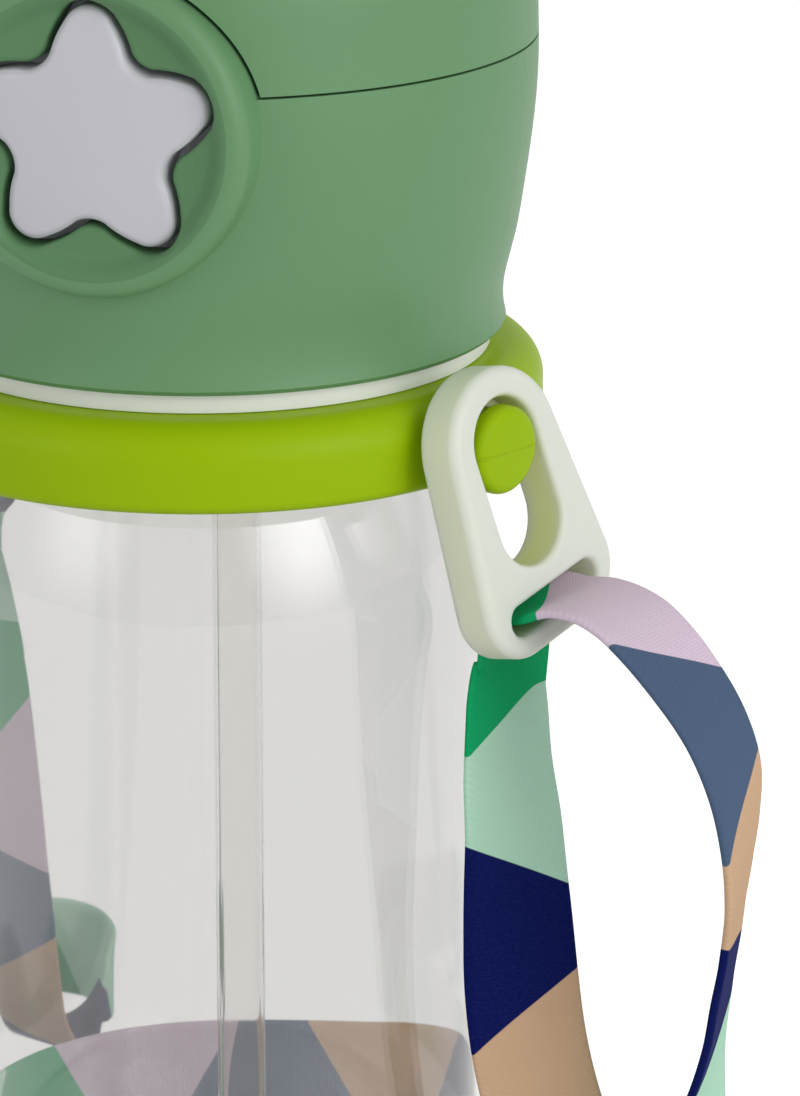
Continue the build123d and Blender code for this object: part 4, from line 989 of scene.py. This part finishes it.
def star_radius(angles, grow=0.0):
    """Reach of the rounded star in each direction, read off its drawn outline."""
    tips = radians(90) + np.arange(10) * pi / 5
    reach = np.where(np.arange(10) % 2 == 0, STAR_TIP, STAR_VALLEY)
    line = rounded(polar(reach, tips), [STAR_TIP_R, STAR_VALLEY_R] * 5, 16)
    after = np.roll(line, -1, 0) - np.roll(line, 1, 0)
    normal = np.stack([after[:, 1], -after[:, 0]], 1) / np.hypot(*after.T)[:, None]
    line = line + grow * normal
    theta = np.arctan2(line[:, 1], line[:, 0])
    order = np.argsort(theta)
    return np.interp(angles, theta[order], np.hypot(*line[order].T), period=2 * pi)


def facing(grid):
    """Turn (x, height, depth) about the drum's axis into the bottle's frame, depth towards +Y."""
    return np.stack([grid[..., 0], grid[..., 2], DRUM_Z + grid[..., 1]], -1)


def wall_back(edge, depth, steps):
    """Wall that runs straight back from a plate's edge to a depth."""
    last = np.dstack([edge[..., :2], np.full((AROUND, 1), depth)])
    return edge + (last - edge) * np.linspace(0, 1, steps)[None, :, None]


angles = np.linspace(-pi, pi, AROUND, endpoint=False)
star_line = polar(star_radius(angles), angles)
print("star reaches, mm:", round(float(np.hypot(*star_line.T).max()), 2))

# %% Button cap, flange and plunger
share = np.sin(np.linspace(0, 1, 44) * pi / 2)
flat = star_line[:, None] * share[None, :, None]
dome = CAP_DOME_R - np.sqrt(CAP_DOME_R**2 - (flat**2).sum(-1))
depth = -DRUM_FRONT + CAP_BEHIND + dome + roll(nearest(flat, star_line), CAP_EDGE)
cap = np.dstack([flat, depth])
cap_wall = wall_back(cap[:, -1:], BEZEL_BACK + 0.3, 6)
back_profile = rounded(
    [(0.0, PAD_FROM), (PAD_R, PAD_FROM), (PAD_R, PAD_TO),
     (PLUNGER_R, PAD_TO), (PLUNGER_R, PLUNGER_END), (0.0, PLUNGER_END)],
    [0, 0.25, 0.25, 0.3, 0.5, 0], 3, closed=False,
)
surfaces = (cap, cap_wall, turned_grid(back_profile, 96))
grids = [(facing(grid), True, False) for grid in surfaces]
button = finish_mesh("star_cap", grids, "button", pale)
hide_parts("star_button")

# %% Dished plate
hole = star_radius(angles, STAR_AIR)
rim_r = BORE_R + 0.02
share = (1 - np.cos(pi * np.linspace(0, 1, 30))) / 2
reach = hole[:, None] + (rim_r - hole[:, None]) * share
flat = polar(reach, angles[:, None])
slope_r = rim_r - 0.3
slide = np.clip((slope_r - reach) / (slope_r - DISH_EDGE_R), 0, 1)
middle = 0.3 * np.clip(1 - reach / DISH_EDGE_R, 0, 1)
depth = -DRUM_FRONT + 0.01 + DISH_DEEP * slide**2 * (3 - 2 * slide) + middle
depth = depth + roll(nearest(flat, polar(hole, angles)), DISH_ROLL)
plate = np.dstack([flat, depth])
walls = [wall_back(plate[:, [column]], BEZEL_BACK, 4) for column in (0, -1)]
back = np.concatenate([walls[0][:, -1:], walls[1][:, -1:]], 1)
grids = [(facing(grid), True, False) for grid in (plate, *walls, back)]
dish = finish_mesh("button_dish", grids, "lid", dish_plastic_painted_shade)
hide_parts("button_bezel")

# %% [markdown]
# ## The return spring
# A compression spring is a wire wound to a helix, which shortens as the button goes in. A tube
# carried along that helix has real turns.

# %% Return spring
low, high = (np.array(corner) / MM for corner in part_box("button_spring"))
WIRE_R, SPRING_TURNS, PRESS = 0.35, 3, 2.5
middle, length = (low + high) / 2, high[1] - low[1]
turn = np.linspace(0, SPRING_TURNS * 2 * pi, SPRING_TURNS * 60)[:, None]
around = np.linspace(0, 2 * pi, 12, endpoint=False)[None]
reach = (high[0] - low[0]) / 2 - WIRE_R + WIRE_R * np.cos(around)
wound = (length - 2 * WIRE_R) * turn / (SPRING_TURNS * 2 * pi)
depth = low[1] + WIRE_R + wound + WIRE_R * np.sin(around)
wire = np.stack([middle[0] + reach * np.cos(turn), depth, middle[2] + reach * np.sin(turn)], -1)
spring = finish_mesh("press_spring", [(capped(wire), False, True)], "lid", steel)
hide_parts("button_spring")
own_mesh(spring)
print("spring length, mm:", round(float(length), 2))

# %% [markdown]
# ## Pieces that keep their solids
# The lid, the cover, the liner, the spout and the small hardware are right as they are. They only
# need their finishes, set on the slots that they already have.

# %% Finishes for the kept solids
finishes = (
    (sage, "lid_shell", "flip_cover", "lid_liner"),
    (white, "cover_catch", "spout_cradle", "spout_barrel", "straw_socket", "strap_slider"),
    (milky, "mouthpiece", "gasket", "vent_valve"),
    (straw_plastic, "straw_tube"),
    (steel, "hinge_pin", "cradle_screws", "cover_spring"),
)
for finish, *names in finishes:
    for name in names:
        for place in nodes[name].material_slots:
            place.material = finish
print("kept solids:", sum(len(names) - 1 for names in finishes))

# %% [markdown]
# ## Floor and light
# The bottle stands on a pale floor that shows its shadow. To the camera, to mirrors and through
# clear plastic the surroundings are plain white, while the light that falls on the bottle comes
# from soft lamps at a level that leaves every colour about as it is written.

# %% Floor
FLOOR_HALF, FLOOR_GREY, FLOOR_GLOW = 1.6, 0.80, 0.64
corners = [(x * FLOOR_HALF, y * FLOOR_HALF, 0) for x, y in ((-1, -1), (1, -1), (1, 1), (-1, 1))]
floor_mesh = bpy.data.meshes.new("floor")
floor_mesh.from_pydata(corners, [], [(0, 1, 2, 3)])
floor = new_object("floor", floor_mesh)
floor_material, tree, principled = new_material("floor")
fill(tree, principled, Base_Color=(FLOOR_GREY, FLOOR_GREY, FLOOR_GREY, 1.0), Roughness=0.9)
lit = principled.outputs[0]
rays = add(tree, "ShaderNodeLightPath").outputs
bent = math(tree, "MAXIMUM", rays["Is Glossy Ray"], rays["Is Transmission Ray"])
seen = math(tree, "MAXIMUM", rays["Is Camera Ray"], bent)
glow = add(tree, "ShaderNodeEmission", {"Color": WHITE, "Strength": FLOOR_GLOW}).outputs[0]
plain = add(tree, "ShaderNodeEmission", {"Color": WHITE, "Strength": 1.0}).outputs[0]
lifted = add(tree, "ShaderNodeAddShader", {0: lit, 1: glow}).outputs[0]
shown = add(tree, "ShaderNodeMixShader", {0: seen, 1: lit, 2: lifted}).outputs[0]
behind = {0: rays["Is Transmission Ray"], 1: shown, 2: plain}
surface = add(tree, "ShaderNodeMixShader", behind).outputs[0]
fill(tree, tree.nodes["Material Output"], Surface=surface)
floor_mesh.materials.append(floor_material)

# %% World and lamps
WORLD_LIGHT, MIRRORED = 0.39, 0.55  # light on the bottle, and how far mirrors see plain white
LAMP_FALL, LAMP_TOP, AIM_Z = 0.5, 2.6, 0.11
world = bpy.data.worlds.new("studio")
world.use_nodes = True
bpy.context.scene.world = world
tree = world.node_tree
rays = add(tree, "ShaderNodeLightPath").outputs
seen = math(tree, "MAXIMUM", rays["Is Camera Ray"], rays["Is Transmission Ray"])
seen = math(tree, "MAXIMUM", seen, math(tree, "MULTIPLY", rays["Is Glossy Ray"], MIRRORED))
strength = math(tree, "MULTIPLY_ADD", seen, 1.0 - WORLD_LIGHT, WORLD_LIGHT)
fill(tree, tree.nodes["Background"], Color=WHITE, Strength=strength)


def softbox(name, azimuth, elevation, distance, size, power):
    """Rectangular lamp aimed at the bottle's middle: bright in its middle, it fades outwards."""
    data = bpy.data.lights.new(name, "AREA")
    data.shape = "RECTANGLE"
    data.size, data.size_y = size
    data.energy = power
    data.use_nodes = True
    tree = data.node_tree
    place = add(tree, "ShaderNodeNewGeometry").outputs["Parametric"]
    inputs = {0: place, 1: (0.5, 0.5, 0.0)}
    off = add(tree, "ShaderNodeVectorMath", inputs, operation="DISTANCE").outputs["Value"]
    fill(tree, tree.nodes["Emission"], Strength=eased(tree, off, LAMP_FALL, 0.0, LAMP_TOP))
    lamp = new_object(name, data)
    a, e = radians(azimuth), radians(elevation)
    aim = Vector((0, 0, AIM_Z))
    offset = Vector((sin(a) * cos(e), -cos(a) * cos(e), sin(e))) * distance
    lamp.location = aim + offset
    lamp.rotation_euler = (-offset).to_track_quat("-Z", "Y").to_euler()


softbox("key", 62, 23, 1.5, (1.9, 1.9), 19.0)
softbox("fill", -38, 20, 1.6, (1.8, 1.6), 6.5)
scene = bpy.context.scene
scene.view_settings.view_transform = "Standard"
